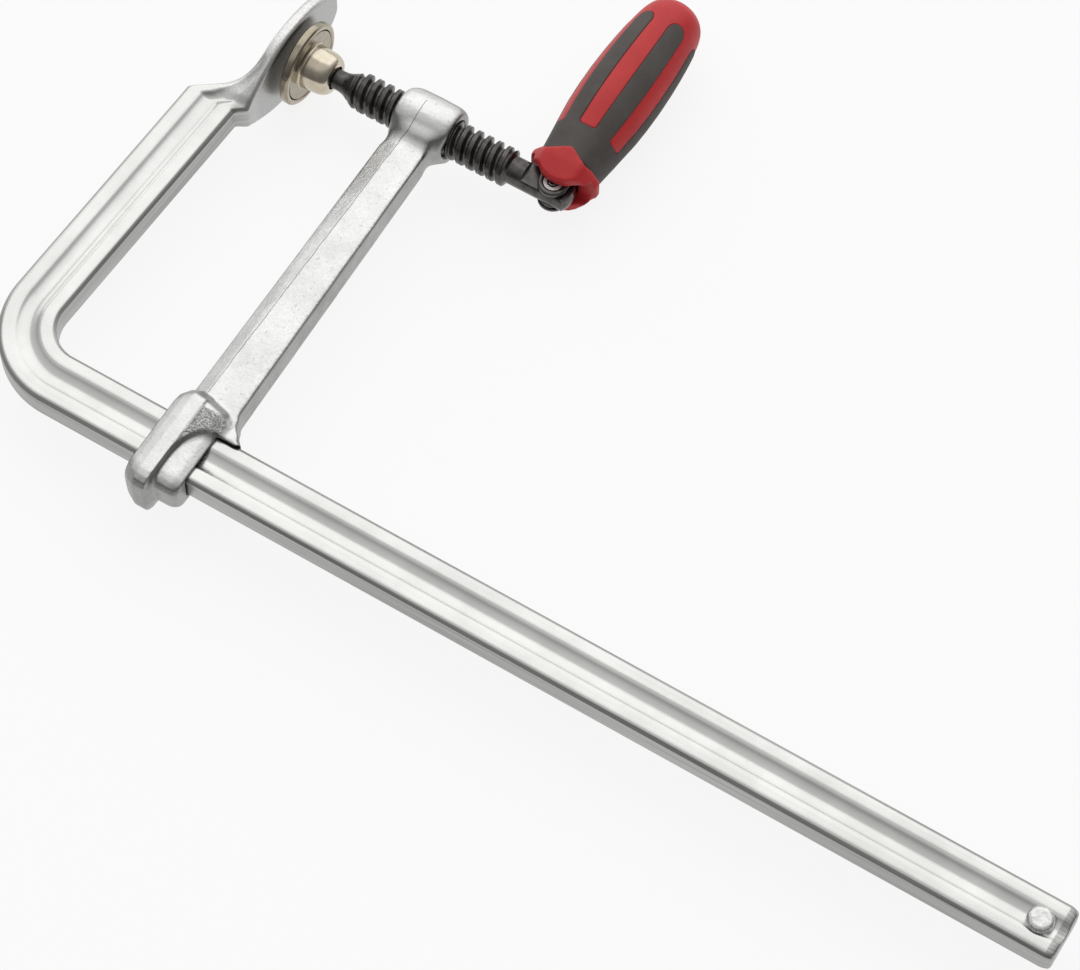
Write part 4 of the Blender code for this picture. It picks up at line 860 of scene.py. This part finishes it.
pin = pipe("hinge_pin_skin", outer=0.0042, inner=0.0026, half_length=joint_half)
sleeve = pipe("hinge_sleeve_skin", outer=0.0025, inner=0.0021, half_length=joint_half - sleeve_recess)
inner_pin = pipe("hinge_inner_pin_skin", outer=0.0018, inner=0.0014, half_length=joint_half)
dress(pin, steel, "handle", "bare_steel", "hinge_pin")
dress(sleeve, oxide, "handle", "black_oxide", "hinge_sleeve")
dress(inner_pin, headed, "handle", "bare_steel", "hinge_inner_pin")

# Handle: a hard red core with a faceted collar round the joint, moulded first, and a soft dark
# grip moulded over it. Six red stripes of the core show between the grip's fingers.

handle_length = 0.1084
handle_radius = 0.0176
handle_shares = np.array((
    (0.055, 0.778), (0.129, 0.795), (0.203, 0.847), (0.277, 0.903), (0.369, 0.966),
    (0.461, 0.994), (0.554, 1.000), (0.646, 0.983), (0.720, 0.955), (0.793, 0.915),
    (0.858, 0.864), (0.904, 0.812), (0.941, 0.733), (0.970, 0.591), (0.991, 0.386), (1.0, 0.0)))
handle_outline = soften(handle_shares * (handle_length, handle_radius), 0.0004, 14)
grip_start = 0.0115
stripe_start = 0.0270
stripe_count = 6
stripe_step = 360.0 / stripe_count
finger_tip = 0.0925
finger_tip_length = 0.0048
finger_half_degrees = 15.5
finger_spread = math.radians(finger_half_degrees)
corner_round = 0.0016
step_width = 0.0005

# columns every 1.5 degrees and closer at the fingers' edges; rows every 1.2 mm and closer at the
# stripes' two ends and over the end cap, after three rows that turn the grip's open end in
near_edges = (np.arange(stripe_count)[:, None, None] * stripe_step + stripe_step / 2
              + np.array((-finger_half_degrees, finger_half_degrees))[:, None]
              + np.linspace(-1.2, 1.2, 7))
degrees = np.unique(np.round(np.concatenate((np.arange(0.0, 360.0, 1.5), near_edges.ravel() % 360)), 3))
angle = np.radians(degrees)
levels = np.unique(np.round(np.concatenate((
    np.arange(grip_start, handle_length, 0.0012), np.arange(0.0258, 0.0292, 0.00025),
    np.arange(0.0860, 0.0940, 0.00030), np.arange(0.1000, handle_length, 0.0004))), 6))
mouth_levels = (0.0222, grip_start, 0.0113)
mouth_insets = np.array((0.0016, 0.0016, 0.0004))
levels = np.concatenate((mouth_levels, levels, (handle_length - 0.00005,)))
girth = np.interp(levels, handle_outline[:, 0], handle_outline[:, 1])[:, None]
level = levels[:, None]

# bare is how far a point lies outside the grip's fingers, whose corners are rounded; covered goes
# from 0 on a stripe to 1 under the grip
sector = 2 * math.pi / stripe_count
nearest = (np.floor(angle / sector) + 0.5) * sector
off_finger = np.abs(angle - nearest)[None]
reach = np.clip((level - finger_tip + finger_tip_length) / finger_tip_length, 0.0, 1.0)
past_side = girth * (off_finger - finger_spread * np.sqrt(1 - reach ** 2)) + 0.002 * (level > finger_tip)
past_band = level - stripe_start
bare = corner_round - np.hypot(np.maximum(corner_round - past_side, 0),
                               np.maximum(corner_round - past_band, 0))
bare = np.minimum(bare, np.maximum(past_side, past_band) + 1)
covered = ease(0.5 - bare / step_width)


def handle_skin(name, radius, first=0):
    """Turned surface about the handle's axis with its own radius at every level and angle."""
    x = spindle_length + radius * np.sin(angle)
    return skin(name, np.stack((x, level + 0 * x, radius * np.cos(angle)), -1)[first:])


# the core sinks under the grip, and the grip stands a little proud of it and dives under the
# stripes; the core's first rows would lie inside the collar and are left out
rows_in_collar = 12
core_sunk = 0.0009
grip_proud = 0.00025
grip_dive = 0.0012
core = handle_skin("handle_core_skin", np.maximum(girth - core_sunk * covered, 0.0002), rows_in_collar)
grip_radius = np.maximum(girth + grip_proud - grip_dive * (1 - covered), 0.0001)
grip_radius[:3] = girth[:3] - mouth_insets[:, None]
grip = handle_skin("handle_grip_skin", grip_radius)

# the collar is the solid core's own; past it the outside of that solid is drawn in, to lie hidden
# under the two skins, and an even, relaxed skin rounds the collar's edges
collar_end = 0.0165
bore_radius = 0.0055
hidden_share = 0.84
collar = merged_copy("handle_core", "handle_collar_skin")
points = vertex_points(collar.data)
from_axis = np.hypot(points[:, 0] - spindle_length, points[:, 2])
drawn_in = np.where((points[:, 1] > collar_end) & (from_axis > bore_radius), hidden_share, 1.0)
points[:, 0] = spindle_length + (points[:, 0] - spindle_length) * drawn_in
points[:, 2] *= drawn_in
collar.data.vertices.foreach_set("co", points.ravel())
remesh = collar.modifiers.new("even_skin", "REMESH")
remesh.mode = "VOXEL"
remesh.voxel_size = 0.0006
settle(collar)
relax(collar.data, np.full(len(collar.data.vertices), 0.5), 5)
collar.data.shade_smooth()

red, paint = new_finish("red_plastic", specular_ior_level=0.35)
skin_grain = paint.noise(paint.place(), 1600.0, 3.0)
flow = paint.noise(paint.place(), 60.0, 3.0)
paint.shade(paint.blend(paint.between(flow, 0.3, 0.7), (0.52, 0.022, 0.026), (0.59, 0.029, 0.031)),
            paint.between(skin_grain, 0.3, 0.7, 0.40, 0.50), paint.bump(skin_grain, 0.00006, 0.35))
soft_grip, paint = new_finish("soft_grip", specular_ior_level=0.35)
matt = paint.noise(paint.place(), 2200.0, 3.0)
wear = paint.noise(paint.place(), 90.0, 4.0)
paint.shade(paint.blend(paint.between(wear, 0.3, 0.7), (0.074, 0.065, 0.061), (0.091, 0.082, 0.077)),
            paint.between(matt, 0.3, 0.7, 0.58, 0.72), paint.bump(matt, 0.00008, 0.4))
dress(core, red, "handle", "red_plastic", "handle_core")
dress(collar, red, "handle", "red_plastic", "handle_core")
dress(grip, soft_grip, "handle", "soft_grip", "handle_grip")
